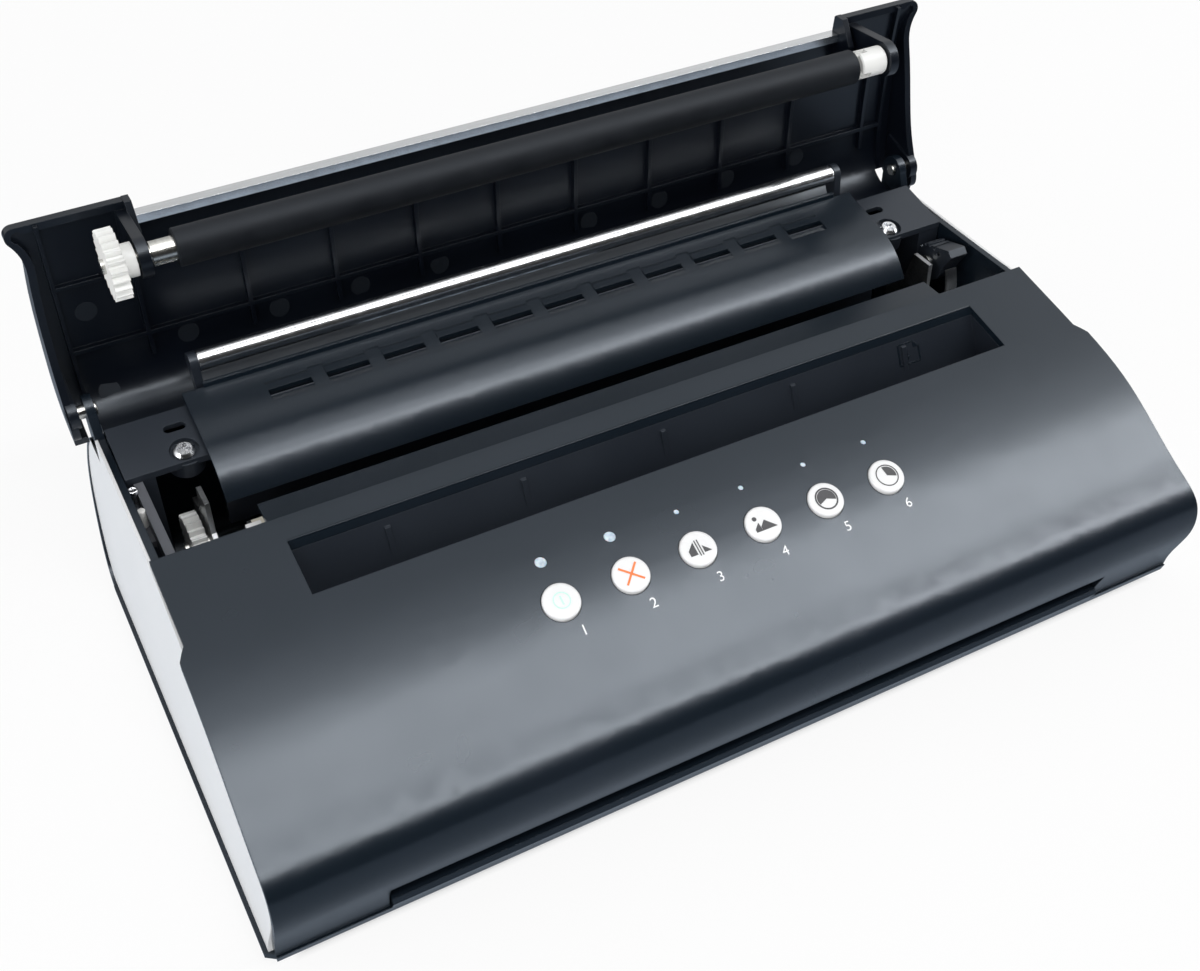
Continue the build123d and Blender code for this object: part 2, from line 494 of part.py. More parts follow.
# ------------------------------------------------------------------ gears
MODULE, PRESS, BACKLASH = 0.8, 25.0, 0.14
GEAR_X0, GEAR_X1 = -125.6, -121.2


def inv(a):
    return tan(a) - a


def gear_face(z):
    """Toothed outline round the origin, one tooth centred on the +y axis of the sketch's x."""
    rp = MODULE * z / 2
    rb = rp * cos(radians(PRESS))
    ra, rf = rp + MODULE * 0.95, rp - MODULE * 1.2
    half = pi / (2 * z) - BACKLASH / (2 * rp)
    base_inv = inv(radians(PRESS))

    def psi(r):
        return half + base_inv - (inv(acos(rb / r)) if r > rb else 0.0)

    rs = [rf, max(rb, rf + 0.05), (rp + max(rb, rf)) / 2 + 0.1, (rp + ra) / 2, ra]
    pts = []
    for k in range(z):
        c = 2 * pi * k / z
        for r in rs:
            pts.append((r * cos(c - psi(r)), r * sin(c - psi(r))))
        for r in reversed(rs):
            pts.append((r * cos(c + psi(r)), r * sin(c + psi(r))))
    return poly(pts)


def gear(z, y, zc, turn, x0=GEAR_X0, x1=GEAR_X1, bore=1.5, hub=None):
    """Spur gear on the x axis; turn is the angle of a tooth, measured from +y towards +z."""
    g = side(Pos(y, zc) * Rot(0, 0, degrees(turn)) * gear_face(z), x0, x1)
    if z > 16:
        r0, r1 = MODULE * z / 2 - 2.4, (hub or 3.0) + 1.0
        if r0 - r1 > 1.2:
            g -= rod_x(r0, x1 - 1.2, x1 + 1, y, zc) - rod_x(r1, x1 - 2, x1 + 2, y, zc)
    if hub:
        g += rod_x(hub, x1 - 0.1, x1 + 3.4, y, zc)
    return g - rod_x(bore, x0 - 1, x1 + 5, y, zc)


PLATEN_T = 22
pl_gear = gear(PLATEN_T, ROLL_Y, ROLL_Z, 0.0, bore=JOURNAL_R, hub=4.6)
save("platen_gear", pl_gear)

RP = {n: MODULE * n / 2 for n in (14, 22, 24, 28)}
FEED_C = (45.0, 35.0)
PLATEN_C = closed_at(ROLL_Y, ROLL_Z)
FREE_GAP = 0.45                               # the shut platen gear stands this far off the train
HIGH_DIR = radians(-50.0)                     # way from the shut platen to the high idler
high_r = RP[24] + RP[22] + 1.9 * MODULE + FREE_GAP
IDLER_H = (PLATEN_C[0] + high_r * cos(HIGH_DIR), PLATEN_C[1] + high_r * sin(HIGH_DIR))
MOTOR_DIR = radians(-131.0)                   # way from the high idler to the motor
MOTOR_C = (IDLER_H[0] + (RP[24] + RP[14]) * cos(MOTOR_DIR), IDLER_H[1] + (RP[24] + RP[14]) * sin(MOTOR_DIR))
IDLER_1 = (MOTOR_C[0] - (RP[14] + RP[28]) * cos(radians(14.0)), MOTOR_C[1] - (RP[14] + RP[28]) * sin(radians(14.0)))
IDLER_2 = circles_meet(IDLER_1, 2 * RP[28], FEED_C, RP[28] + RP[22], -1)


def mesh(turn1, c1, z1, c2, z2):
    """Tooth angle of the second gear that drops its gap on the first gear's tooth."""
    d = atan2(c2[1] - c1[1], c2[0] - c1[0])
    return d + pi + pi / z2 - (turn1 - d) * z1 / z2


T_MOT = 0.1
T_H = mesh(T_MOT, MOTOR_C, 14, IDLER_H, 24)
T_1 = mesh(T_MOT, MOTOR_C, 14, IDLER_1, 28)
T_2 = mesh(T_1, IDLER_1, 28, IDLER_2, 28)
T_FEED = mesh(T_2, IDLER_2, 28, FEED_C, 22)
pinion = gear(14, *MOTOR_C, T_MOT, bore=1.0, x0=GEAR_X0 - 0.4)
pinion += rod_x(1.0, GEAR_X0 - 0.4, -118.6, *MOTOR_C)
save("motor_pinion", pinion)
IDLER_BORE = 1.5 + RUN
save("idler_high", gear(24, *IDLER_H, T_H, bore=IDLER_BORE))
save("idler_first", gear(28, *IDLER_1, T_1, bore=IDLER_BORE))
save("idler_second", gear(28, *IDLER_2, T_2, bore=IDLER_BORE))
save("feed_gear", gear(22, *FEED_C, T_FEED, bore=1.5))

# feed roller that draws the original over the scan bar
FEED_R = 5.0
feed = rod_x(FEED_R, -104.0, 112.0, *FEED_C) - rod_x(SHAFT_R, -130, 130, *FEED_C)
for x in (-104.0, -50.0, 4.0, 58.0):
    feed -= rod_x(FEED_R + 1, x + 26.0, x + 28.0, *FEED_C) - rod_x(FEED_R - 1.2, x + 25, x + 29, *FEED_C)
save("feed_rubber", feed)
feed_shaft = rod_x(SHAFT_R, -112.0, 120.0, *FEED_C) + rod_x(1.5, GEAR_X0 - 1.0, -111.0, *FEED_C) + rod_x(1.5, 119.0, 127.0, *FEED_C)
save("feed_shaft", feed_shaft)

# ------------------------------------------------------------------ metal side plates of the mechanism
GP_X0, GP_X1 = -120.0, -118.6                 # gear side plate
RPL_X0, RPL_X1 = 123.6, 125.0                 # right side plate
U_Y0, U_Y1, U_Z = PLATEN_C[0] - 6.6, PLATEN_C[0] + 6.6, 47.0
plate_face = poly([(36.0, FLOOR_Z), (124.0, FLOOR_Z), (124.0, 48.0), (115.5, 50.0), (112.0, 61.0), (U_Y1, 61.0),
                   (U_Y1, U_Z + 3), (U_Y1 - 3, U_Z), (U_Y0 + 3, U_Z), (U_Y0, U_Z + 3), (U_Y0, 58.0), (U_Y0 - 4.4, 58.0),
                   (U_Y0 - 6.0, 52.0), (82.0, 41.5), (36.0, 41.5)])


def mech_plate(x0, x1, foot_x0, foot_x1):
    p = side(plate_face, x0, x1) + block(foot_x0, foot_x1, 60.0, 84.0, FLOOR_Z, FLOOR_Z + 1.4)
    p += block(foot_x0, foot_x1, 112.5, 124.0, FLOOR_Z, FLOOR_Z + 1.4)
    return p - rod_x(1.5 + RUN, x0 - 2, x1 + 2, *FEED_C)


left_plate = mech_plate(GP_X0, GP_X1, GP_X0 - 7.0, GP_X0)
left_plate -= rod_x(2.4, GP_X0 - 2, GP_X1 + 2, *MOTOR_C)
STUDS = (IDLER_H, IDLER_1, IDLER_2)
for c in STUDS:
    left_plate -= rod_x(1.5, GP_X0 - 2, GP_X1 + 2, *c)
save("gear_side_plate", left_plate)
save("plain_side_plate", mech_plate(RPL_X0, RPL_X1, RPL_X1, RPL_X1 + 3.0))
studs = None
for c in STUDS:
    stud = rod_x(1.5, GEAR_X0 - 0.6, GP_X1, *c) + rod_x(2.5, GEAR_X0 - 1.4, GEAR_X0 - 0.3, *c)
    stud += rod_x(2.6, GEAR_X1 + 0.3, GP_X0, *c)
    studs = stud if studs is None else studs + stud
save("idler_studs", studs)

# stepper motor
MOT_R, MOT_L = 10.4, 23.0
motor = rod_x(MOT_R, GP_X1, GP_X1 + MOT_L, *MOTOR_C)
motor = chamfer(motor.edges().filter_by(GeomType.CIRCLE), 0.6)
for x in (GP_X1 + 5.0, GP_X1 + MOT_L - 6.0):
    motor -= rod_x(MOT_R + 1, x, x + 0.8, *MOTOR_C) - rod_x(MOT_R - 0.5, x - 1, x + 2, *MOTOR_C)
motor += rod_x(2.4, GP_X0 + 0.1, GP_X1 + 0.1, *MOTOR_C)
motor -= rod_x(1.0 + RUN, GP_X0 - 2, GP_X1 + 10.0, *MOTOR_C)
motor += block(GP_X1 + 3, GP_X1 + 16, MOTOR_C[0] - 13.0, MOTOR_C[0] - 9.0, MOTOR_C[1] - 4, MOTOR_C[1] + 4)
save("stepper_motor", motor)

# ------------------------------------------------------------------ print head on its springs
HEAD_X0, HEAD_X1 = -110.0, 112.0
HEAD_TOP = PLATEN_C[1] - ROLL_R - 0.15
sink = block(HEAD_X0, HEAD_X1, PLATEN_C[0] - 6.4, PLATEN_C[0] + 6.4, HEAD_TOP - 6.0, HEAD_TOP - 1.0)
for dy in (-6.4, -3.4, 2.2, 5.2):
    sink += block(HEAD_X0 + 2, HEAD_X1 - 2, PLATEN_C[0] + dy, PLATEN_C[0] + dy + 1.2, SPRING_Z1, HEAD_TOP - 5.9)
for x in SPRING_X:
    sink += block(x - 5, x + 5, SPRING_Y - 4.4, SPRING_Y + 4.4, SPRING_Z1, HEAD_TOP - 5.9)
save("head_heat_sink", sink)
ceramic = block(HEAD_X0 + 1, HEAD_X1 - 1, PLATEN_C[0] - 4.6, PLATEN_C[0] + 5.4, HEAD_TOP - 1.0, HEAD_TOP - 0.12)
ceramic += block(HEAD_X0 + 3, HEAD_X1 - 3, PLATEN_C[0] - 0.6, PLATEN_C[0] + 0.6, HEAD_TOP - 0.2, HEAD_TOP)
save("thermal_head", ceramic)

COIL_R, WIRE_R = 2.7, 0.4
springs = None
for x in SPRING_X:
    path = Pos(x, SPRING_Y, SPRING_Z0 + WIRE_R) * Helix(2.3, SPRING_Z1 - SPRING_Z0 - 2 * WIRE_R, COIL_R)
    one = sweep(Plane(origin=path @ 0, z_dir=path % 0) * Circle(WIRE_R), path=path, is_frenet=True)
    springs = one if springs is None else springs + one
save("head_springs", springs)

# ------------------------------------------------------------------ scan bar
SCAN_Z1 = FEED_C[1] - FEED_R - 0.12
scan = block(-107.0, 115.0, SCAN_Y0, SCAN_Y1, SCAN_Z0, SCAN_Z1 - 1.4)
scan = chamfer(scan.edges().filter_by(Axis.X), 0.8)
scan -= block(-104.0, 112.0, SCAN_Y0 + 3, SCAN_Y1 - 3, SCAN_Z1 - 2.4, SCAN_Z1)
save("scan_bar", scan)
save("scan_glass", block(-104.0, 112.0, SCAN_Y0 + 3, SCAN_Y1 - 3, SCAN_Z1 - 2.4, SCAN_Z1 - 0.5))

# ------------------------------------------------------------------ boards
PCB_T = 1.6
MB_Z = FLOOR_Z + 4.0
main_board = block(10.0, 84.0, 86.0, 116.0, MB_Z, MB_Z + PCB_T)
for x0, x1, y0, y1, h in ((22, 34, 94, 106, 1.4), (40, 46, 90, 98, 1.0), (50, 62, 108, 114.4, 5.0), (66, 74, 90, 98, 7.0),
                          (66, 80, 108, 114.4, 5.0), (14, 18, 96, 110, 3.0), (40, 47, 104, 111, 4.0)):
    main_board += block(x0, x1, y0, y1, MB_Z + PCB_T - 0.1, MB_Z + PCB_T + h)
for x, y in ((56.0, 92.0), (56.0, 99.0), (78.0, 102.0)):
    main_board += rod_z(2.5, MB_Z + PCB_T - 0.1, MB_Z + PCB_T + 8.0, x, y)
save("main_board", main_board)

KEY_TOP = -7.0                                # top of the key board below the deck
KB_X0, KB_X1, KB_Y0, KB_Y1 = -60.0, 63.5, -8.0, 16.0
key_board = btn_plane * block(KB_X0, KB_X1, KB_Y0, KB_Y1, KEY_TOP - PCB_T, KEY_TOP)
for x in btn_x:
    key_board += btn_plane * block(x - 2.6, x + 2.6, -2.6, 2.6, KEY_TOP - 0.1, KEY_TOP + 0.6)
    key_board += btn_plane * Pos(x, 0, KEY_TOP + 0.6) * Cylinder(1.3, 0.5)
led_local_y = (LED_Y - BTN_Y) / cos(radians(BTN_SLOPE))
for x in btn_x:
    key_board += btn_plane * block(x - 1.2, x + 1.2, led_local_y - 1.2, led_local_y + 1.2, KEY_TOP - 0.1, KEY_TOP + 0.9)
save("key_board", key_board)

# ------------------------------------------------------------------ buttons and lamps
BTN_UP = 1.1
BTN_TRAVEL = 0.5
SWITCH_TOP = KEY_TOP + 0.85
for i, x in enumerate(btn_x):
    cap = Cylinder(BTN_R, BTN_UP + 3.2, align=(Align.CENTER, Align.CENTER, Align.MIN))
    cap = fillet(cap.edges().group_by(Axis.Z)[-1], 0.7)
    cap = Pos(0, 0, -3.2) * cap
    cap += Pos(0, 0, -3.45) * Cylinder(BTN_R + 0.7, 0.9)
    cap += Pos(0, 0, (SWITCH_TOP + BTN_TRAVEL + 0.1 - 3.4) / 2) * Cylinder(1.5, -3.4 - SWITCH_TOP - BTN_TRAVEL - 0.1)
    save(f"button_{i + 1}", btn_plane * Pos(x, 0, 0) * cap)

lamps, small_lamps = None, None
for i, (x, r) in enumerate(zip(btn_x, LED_R)):
    lens = led_plane * Pos(x, 0, -1.35) * Cylinder(r, 3.3)
    lens = chamfer(lens.edges().filter_by(GeomType.CIRCLE), 0.2)
    if i < 2:
        lamps = lens if lamps is None else lamps + lens
    else:
        small_lamps = lens if small_lamps is None else small_lamps + lens
save("lamp_lenses", lamps)
save("small_lamp_lenses", small_lamps)

# ------------------------------------------------------------------ power inlet
INLET_Y1 = 161.6
inlet = block(INLET_X - INLET_W / 2, INLET_X + INLET_W / 2, 148.0, INLET_Y1, INLET_Z - INLET_H / 2, INLET_Z + INLET_H / 2)
inlet -= rod_y(2.8, 152.0, 165.0, INLET_X, INLET_Z)
inlet += rod_y(1.0, 151.5, INLET_Y1 - 1.2, INLET_X, INLET_Z)
save("power_inlet", inlet)

# ------------------------------------------------------------------ fasteners and feet
pl_screws = None
for s in (-1, 1):
    seat = Pos(s * SCR_X, SCR_Y, plateau_z(SCR_Y)) * Rot(tilt, 0, 0)
    one = Pos(0, 0, -1.5) * head_screw(3.1, 1.9, 20 * s) + Pos(0, 0, -4.0) * Cylinder(1.6, 5.0)
    pl_screws = seat * one if pl_screws is None else pl_screws + seat * one
save("frame_screws", pl_screws)

base_screws = None
for x, y in BOSS:
    one = Pos(x, y, 3.0) * Rot(180, 0, 0) * head_screw(2.8, 1.6, 45) + rod_z(1.25, 2.9, 40.0, x, y)
    base_screws = one if base_screws is None else base_screws + one
save("base_screws", base_screws)

FOOT_R = 6.5
feet = None
for x in (-118.0, 118.0):
    for y in (16.0, 134.0):
        foot = rod_z(FOOT_R, 0, FOOT_H, x, y)
        foot = chamfer(foot.edges().group_by(Axis.Z)[0], 0.4)
        feet = foot if feet is None else feet + foot
save("rubber_feet", feet)

# ------------------------------------------------------------------ pieces seen in the side bays
RAIL_Z = 64.6
rail = block(-135.2, -132.6, 74.0, 117.0, RAIL_Z - 9.0, RAIL_Z) + block(-137.2, -132.6, 76.0, 82.0, RAIL_Z - 9.0, RAIL_Z - 7.0)
rail += block(-137.2, -135.1, 98.0, 117.0, RAIL_Z - 7.4, RAIL_Z - 5.4)
save("bay_rail", rail)
LEDGE_Z = RAIL_Z - 5.4

catch_c = (109.4, 58.0)
catch = side(Pos(*catch_c) * Circle(6.2) + poly([(109.4, 64.2), (101.0, 66.6), (99.2, 64.8), (104.4, 56.0)]), 128.2, 134.8)
for a in (40, 62, 84, 106, 128):
    catch -= Pos(0, *catch_c) * Rot(a, 0, 0) * block(128.0, 135.0, 5.5, 7.0, -0.55, 0.55)
catch -= rod_x(1.8 + RUN, 127, 136, *catch_c)
save("catch_lever", catch)
catch_pin = rod_x(1.8, 127.4, 137.2, *catch_c) + rod_x(2.6, 126.6, 127.6, *catch_c) + rod_x(2.8, 135.1, 137.2, *catch_c)
save("catch_pin", catch_pin)
leaf = side(poly([(99.2, FLOOR_Z), (100.2, FLOOR_Z), (100.4, 40.0), (101.2, 52.4), (102.5, 58.2), (101.6, 58.6),
                  (100.1, 52.7), (99.4, 40.2)]), 129.4, 133.4)
leaf += block(129.4, 133.4, 92.0, 99.5, FLOOR_Z, FLOOR_Z + 0.9)
save("catch_spring", leaf)
shield_top = [(78.0, 50.0), (84.0, 51.4), (90.0, 50.0), (95.5, 45.0), (97.5, 38.0)]
shield_in = offset_curve(shield_top, -0.9)
shield = side(make_face(Spline(*shield_top) + Polyline(shield_top[-1], shield_in[-1]) + Spline(*shield_in)
                        + Polyline(shield_in[0], shield_top[0])), RPL_X1, CHEEK_X)
save("bay_shield", shield)
sensor = block(-113.4, -109.2, 80.6, 87.0, 62.4, 64.2) + block(-113.4, -111.6, 74.0, 81.0, 56.0, 64.2)
save("paper_sensor", sensor)
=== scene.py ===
import bpy
import json
from math import atan2, cos, pi, radians, sin
from mathutils import Matrix, Vector


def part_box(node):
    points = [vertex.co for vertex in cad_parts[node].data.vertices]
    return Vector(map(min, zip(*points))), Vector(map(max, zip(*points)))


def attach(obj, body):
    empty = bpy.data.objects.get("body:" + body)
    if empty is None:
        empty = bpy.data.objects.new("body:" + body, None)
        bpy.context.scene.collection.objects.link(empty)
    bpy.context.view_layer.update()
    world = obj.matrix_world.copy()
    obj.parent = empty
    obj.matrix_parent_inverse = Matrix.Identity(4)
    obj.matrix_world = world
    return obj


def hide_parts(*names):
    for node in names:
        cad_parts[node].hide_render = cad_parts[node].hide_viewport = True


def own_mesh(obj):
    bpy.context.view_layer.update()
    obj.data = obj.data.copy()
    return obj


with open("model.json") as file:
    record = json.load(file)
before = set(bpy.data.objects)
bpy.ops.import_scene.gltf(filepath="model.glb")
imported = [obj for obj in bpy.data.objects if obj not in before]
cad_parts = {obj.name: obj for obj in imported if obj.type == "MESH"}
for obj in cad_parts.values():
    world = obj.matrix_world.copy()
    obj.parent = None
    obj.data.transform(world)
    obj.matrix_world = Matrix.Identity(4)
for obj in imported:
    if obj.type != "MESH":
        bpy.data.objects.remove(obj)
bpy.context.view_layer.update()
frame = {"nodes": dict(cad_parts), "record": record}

NODES = frame["nodes"]
MM = 0.001

# ---------------------------------------------------------------- values that several pieces share
NOISE_LOW, NOISE_HIGH = 0.3, 0.7              # nearly all of a noise lies between these
WELD_GAP = 0.002 * MM                         # corners of a mesh closer than this become one
NODE_SHARP = radians(24)                      # edges of a node bent more than this stay sharp
PIECE_SHARP = radians(40)                     # the same for a piece drawn here
INK = 0.05 * MM                               # thickness of a printed sign
INK_GAP = 0.04 * MM                           # how far a print floats off its surface
ABOVE_ALL = 0.2                               # a height over the whole machine
DOWN, BACKWARDS = Vector((0, 0, -1)), Vector((0, 1, 0))


# ---------------------------------------------------------------- helpers for node trees
def new_finish(name):
    """An empty finish: its material, node tree, shader and the piece's own coordinates."""
    material = bpy.data.materials.new(name)
    material.use_nodes = True
    tree = material.node_tree
    shader = tree.nodes["Principled BSDF"]
    coords = tree.nodes.new("ShaderNodeTexCoord").outputs["Object"]
    return material, tree, shader, coords


def wire(tree, shader, colour=None, rough=None, normal=None):
    """Connects what a finish works out to the sockets of its shader."""
    for socket, value in (("Base Color", colour), ("Roughness", rough), ("Normal", normal)):
        if value is not None:
            tree.links.new(value, shader.inputs[socket])


def speckle(tree, coords, size, detail=2.0, stretch=(1.0, 1.0, 1.0)):
    """Cloudy noise whose blobs are about size metres wide."""
    place = tree.nodes.new("ShaderNodeMapping")
    place.inputs["Scale"].default_value = stretch
    tree.links.new(coords, place.inputs["Vector"])
    noise = tree.nodes.new("ShaderNodeTexNoise")
    noise.inputs["Scale"].default_value = 1.0 / size
    noise.inputs["Detail"].default_value = detail
    tree.links.new(place.outputs["Vector"], noise.inputs["Vector"])
    return noise.outputs["Fac"]


def shade_between(tree, value, dark, light, start=NOISE_LOW, end=NOISE_HIGH):
    """Colour that runs from dark to light as the value rises from start to end."""
    ramp = tree.nodes.new("ShaderNodeValToRGB")
    low, high = ramp.color_ramp.elements
    low.position, low.color = start, (*dark, 1.0)
    high.position, high.color = end, (*light, 1.0)
    tree.links.new(value, ramp.inputs["Fac"])
    return ramp.outputs["Color"]


def number_between(tree, value, low, high):
    """Number that runs from low to high as a noise rises."""
    ranged = tree.nodes.new("ShaderNodeMapRange")
    ranged.inputs["From Min"].default_value = NOISE_LOW
    ranged.inputs["From Max"].default_value = NOISE_HIGH
    ranged.inputs["To Min"].default_value = low
    ranged.inputs["To Max"].default_value = high
    tree.links.new(value, ranged.inputs["Value"])
    return ranged.outputs["Result"]


def relief(tree, height, depth, strength, under=None):
    """Bump of the given depth in metres, laid over another normal."""
    bump = tree.nodes.new("ShaderNodeBump")
    bump.inputs["Distance"].default_value = depth
    bump.inputs["Strength"].default_value = strength
    tree.links.new(height, bump.inputs["Height"])
    if under is not None:
        tree.links.new(under, bump.inputs["Normal"])
    return bump.outputs["Normal"]


def soft_edges(tree, radius):
    """Normal that rounds every sharp edge by the given radius."""
    bevel = tree.nodes.new("ShaderNodeBevel")
    bevel.samples = 2
    bevel.inputs["Radius"].default_value = radius
    return bevel.outputs["Normal"]


def reckon(tree, operation, first, second=None):
    """Result of a sum, whose values are numbers or outputs of other nodes."""
    node = tree.nodes.new("ShaderNodeMath")
    node.operation = operation
    for socket, value in zip(node.inputs, (first, second)):
        if isinstance(value, float):
            socket.default_value = value
        elif value is not None:
            tree.links.new(value, socket)
    return node.outputs[0]


def plain_light(tree, kind, colour, strength=1.0):
    """Light of one colour, of the kind Emission on a surface or Background on a world."""
    node = tree.nodes.new("ShaderNode" + kind)
    node.inputs["Color"].default_value = (*colour, 1.0)
    if isinstance(strength, float):
        node.inputs["Strength"].default_value = strength
    else:
        tree.links.new(strength, node.inputs["Strength"])
    return node.outputs[0]


def either_shader(tree, share, first, second):
    """The first shader where the share is 0, the second where it is 1."""
    mix = tree.nodes.new("ShaderNodeMixShader")
    for socket, value in zip(mix.inputs, (share, first, second)):
        tree.links.new(value, socket)
    return mix.outputs["Shader"]


# ---------------------------------------------------------------- finishes
PAINTED_COOL_SHEEN = (0.85, 0.92, 1.0, 1.0)           # painted cool sheen: the gloss of the moulded plastics is tinted blue for the cool cast of the light


def moulded_plastic(name, dark, light, rough, grain, edge=0.35 * MM):
    """Injection-moulded plastic: fine spark grain, faint flow clouds, rounded edges."""
    material, tree, shader, coords = new_finish(name)
    clouds = speckle(tree, coords, 45 * MM, 3.0)
    handling = speckle(tree, coords, 30 * MM, 3.0)
    spark = speckle(tree, coords, grain, 1.0)
    wire(tree, shader,
         colour=shade_between(tree, clouds, dark, light),
         rough=number_between(tree, handling, *rough),
         normal=relief(tree, spark, 0.003 * MM, 0.3, soft_edges(tree, edge)))
    # specular tint: painted cool sheen that stands in for the cool light
    shader.inputs["Specular Tint"].default_value = PAINTED_COOL_SHEEN
    return material


def metal(name, dark, light, rough, stretch=(1.0, 1.0, 1.0), line=0.25 * MM, depth=0.004 * MM):
    """Plated or turned metal with tool lines along the axes where the stretch is small."""
    material, tree, shader, coords = new_finish(name)
    lines = speckle(tree, coords, line, 3.0, stretch)
    wear = speckle(tree, coords, 3 * MM)
    wire(tree, shader,
         colour=shade_between(tree, lines, dark, light),
         rough=number_between(tree, wear, *rough),
         normal=relief(tree, lines, depth, 0.5, soft_edges(tree, 0.15 * MM)))
    shader.inputs["Metallic"].default_value = 1.0
    return material


def roller_rubber_finish():
    """Ground rubber: dull, with fine grinding rings and a little dust."""
    material, tree, shader, coords = new_finish("ground_rubber")
    rings = speckle(tree, coords, 0.5 * MM, 2.0, (1.0, 0.05, 0.05))
    dust = speckle(tree, coords, 7 * MM, 5.0)
    pores = speckle(tree, coords, 0.35 * MM, 3.0)
    skin = relief(tree, pores, 0.02 * MM, 0.5, soft_edges(tree, 0.3 * MM))
    wire(tree, shader,
         colour=shade_between(tree, dust, (0.003, 0.0035, 0.005), (0.007, 0.008, 0.010)),
         rough=number_between(tree, dust, 0.55, 0.65),
         normal=relief(tree, rings, 0.015 * MM, 0.5, skin))
    shader.inputs["Specular IOR Level"].default_value = 0.28
    # specular tint: painted cool sheen that stands in for the cool light
    shader.inputs["Specular Tint"].default_value = PAINTED_COOL_SHEEN
    return material


def lamp_finish():
    """Milky light guide that lets a little light into its cap."""
    material, tree, shader, coords = new_finish("milky_lamp")
    milk = speckle(tree, coords, 1.2 * MM)
    wire(tree, shader,
         colour=shade_between(tree, milk, (0.42, 0.52, 0.62), (0.72, 0.80, 0.86)),
         normal=relief(tree, milk, 0.02 * MM, 0.3, soft_edges(tree, 0.2 * MM)))
    shader.inputs["Roughness"].default_value = 0.18
    shader.inputs["Subsurface Weight"].default_value = 0.3
    shader.inputs["Subsurface Scale"].default_value = 0.5 * MM
    return material


def glass_finish():
    """Clear scan window with a faint green tinge."""
    material, tree, shader, coords = new_finish("scan_window_glass")
    haze = speckle(tree, coords, 14 * MM)
    wire(tree, shader,
         colour=shade_between(tree, haze, (0.62, 0.74, 0.72), (0.78, 0.86, 0.85)),
         rough=number_between(tree, haze, 0.03, 0.08))
    shader.inputs["Transmission Weight"].default_value = 0.85
    return material


def circuit_finish():
    """Green solder mask with darker patches and raised fields."""
    material, tree, shader, coords = new_finish("circuit_board")
    fields = tree.nodes.new("ShaderNodeTexVoronoi")
    fields.distance = "CHEBYCHEV"
    fields.inputs["Scale"].default_value = 1.0 / (3 * MM)
    tree.links.new(coords, fields.inputs["Vector"])
    depth = fields.outputs["Distance"]
    wire(tree, shader,
         colour=shade_between(tree, depth, (0.02, 0.13, 0.06), (0.05, 0.26, 0.12), 0.25, 0.32),
         normal=relief(tree, depth, 0.03 * MM, 0.4))
    shader.inputs["Roughness"].default_value = 0.32
    return material


def ink_finish(name, dark, light):
    """Screen-printed ink with a slightly uneven film."""
    material, tree, shader, coords = new_finish(name)
    film = speckle(tree, coords, 0.5 * MM, 3.0)
    wire(tree, shader,
         colour=shade_between(tree, film, dark, light),
         rough=number_between(tree, film, 0.3, 0.45),
         normal=relief(tree, film, 0.006 * MM, 0.4))
    return material


HOUSING = moulded_plastic("housing_satin_black", (0.005, 0.009, 0.014), (0.008, 0.012, 0.018),
                          rough=(0.25, 0.275), grain=0.45 * MM)
COVER = moulded_plastic("cover_satin_black", (0.002, 0.003, 0.006), (0.004, 0.006, 0.010),
                        rough=(0.28, 0.36), grain=0.55 * MM)
MARK = moulded_plastic("cover_mark_black", (0.007, 0.009, 0.013), (0.011, 0.014, 0.019),
                       rough=(0.45, 0.52), grain=0.3 * MM)
GUIDE = moulded_plastic("guide_half_gloss_black", (0.005, 0.009, 0.014), (0.008, 0.012, 0.018),
                        rough=(0.23, 0.255), grain=0.4 * MM)
INNER = moulded_plastic("inner_dull_black", (0.012, 0.015, 0.021), (0.018, 0.022, 0.029),
                        rough=(0.32, 0.38), grain=0.4 * MM)
WHITE = moulded_plastic("panel_gloss_white", (0.78, 0.785, 0.79), (0.81, 0.815, 0.82),
                        rough=(0.30, 0.32), grain=0.8 * MM)
ACETAL = moulded_plastic("acetal_white", (0.76, 0.76, 0.74), (0.84, 0.84, 0.82),
                         rough=(0.34, 0.44), grain=0.5 * MM, edge=0.2 * MM)
KEY_WHITE = moulded_plastic("key_cap_white", (0.80, 0.80, 0.80), (0.85, 0.85, 0.85),
                            rough=(0.22, 0.30), grain=0.6 * MM, edge=0.3 * MM)
GREY = moulded_plastic("rail_grey", (0.10, 0.105, 0.12), (0.14, 0.145, 0.16),
                       rough=(0.35, 0.45), grain=0.5 * MM)
FOOT = moulded_plastic("foot_rubber", (0.02, 0.02, 0.02), (0.035, 0.035, 0.035),
                       rough=(0.65, 0.8), grain=0.4 * MM)
STRIP = metal("polished_strip", (0.84, 0.85, 0.86), (0.90, 0.91, 0.92), rough=(0.20, 0.26),
              stretch=(0.04, 1.0, 1.0), line=0.4 * MM, depth=0.0008 * MM)
ROD = metal("polished_rod", (0.90, 0.90, 0.91), (0.94, 0.94, 0.95), rough=(0.20, 0.26),
            stretch=(0.03, 1.0, 1.0), line=0.4 * MM, depth=0.0008 * MM)
SHAFT = metal("turned_steel", (0.62, 0.61, 0.57), (0.74, 0.73, 0.69), rough=(0.22, 0.30),
              stretch=(1.0, 0.05, 0.05), line=0.3 * MM, depth=0.001 * MM)
SHEET = metal("plated_sheet", (0.40, 0.41, 0.42), (0.55, 0.56, 0.57), rough=(0.30, 0.42),
              stretch=(1.0, 0.3, 0.3))
ZINC = metal("zinc_screw", (0.60, 0.61, 0.63), (0.82, 0.83, 0.85), rough=(0.18, 0.32))
ALLOY = metal("extruded_alloy", (0.55, 0.56, 0.57), (0.68, 0.69, 0.70), rough=(0.30, 0.40),
              stretch=(0.05, 1.0, 1.0))
CAN = metal("motor_can", (0.33, 0.33, 0.34), (0.46, 0.46, 0.47), rough=(0.30, 0.42),
            stretch=(0.1, 1.0, 1.0))
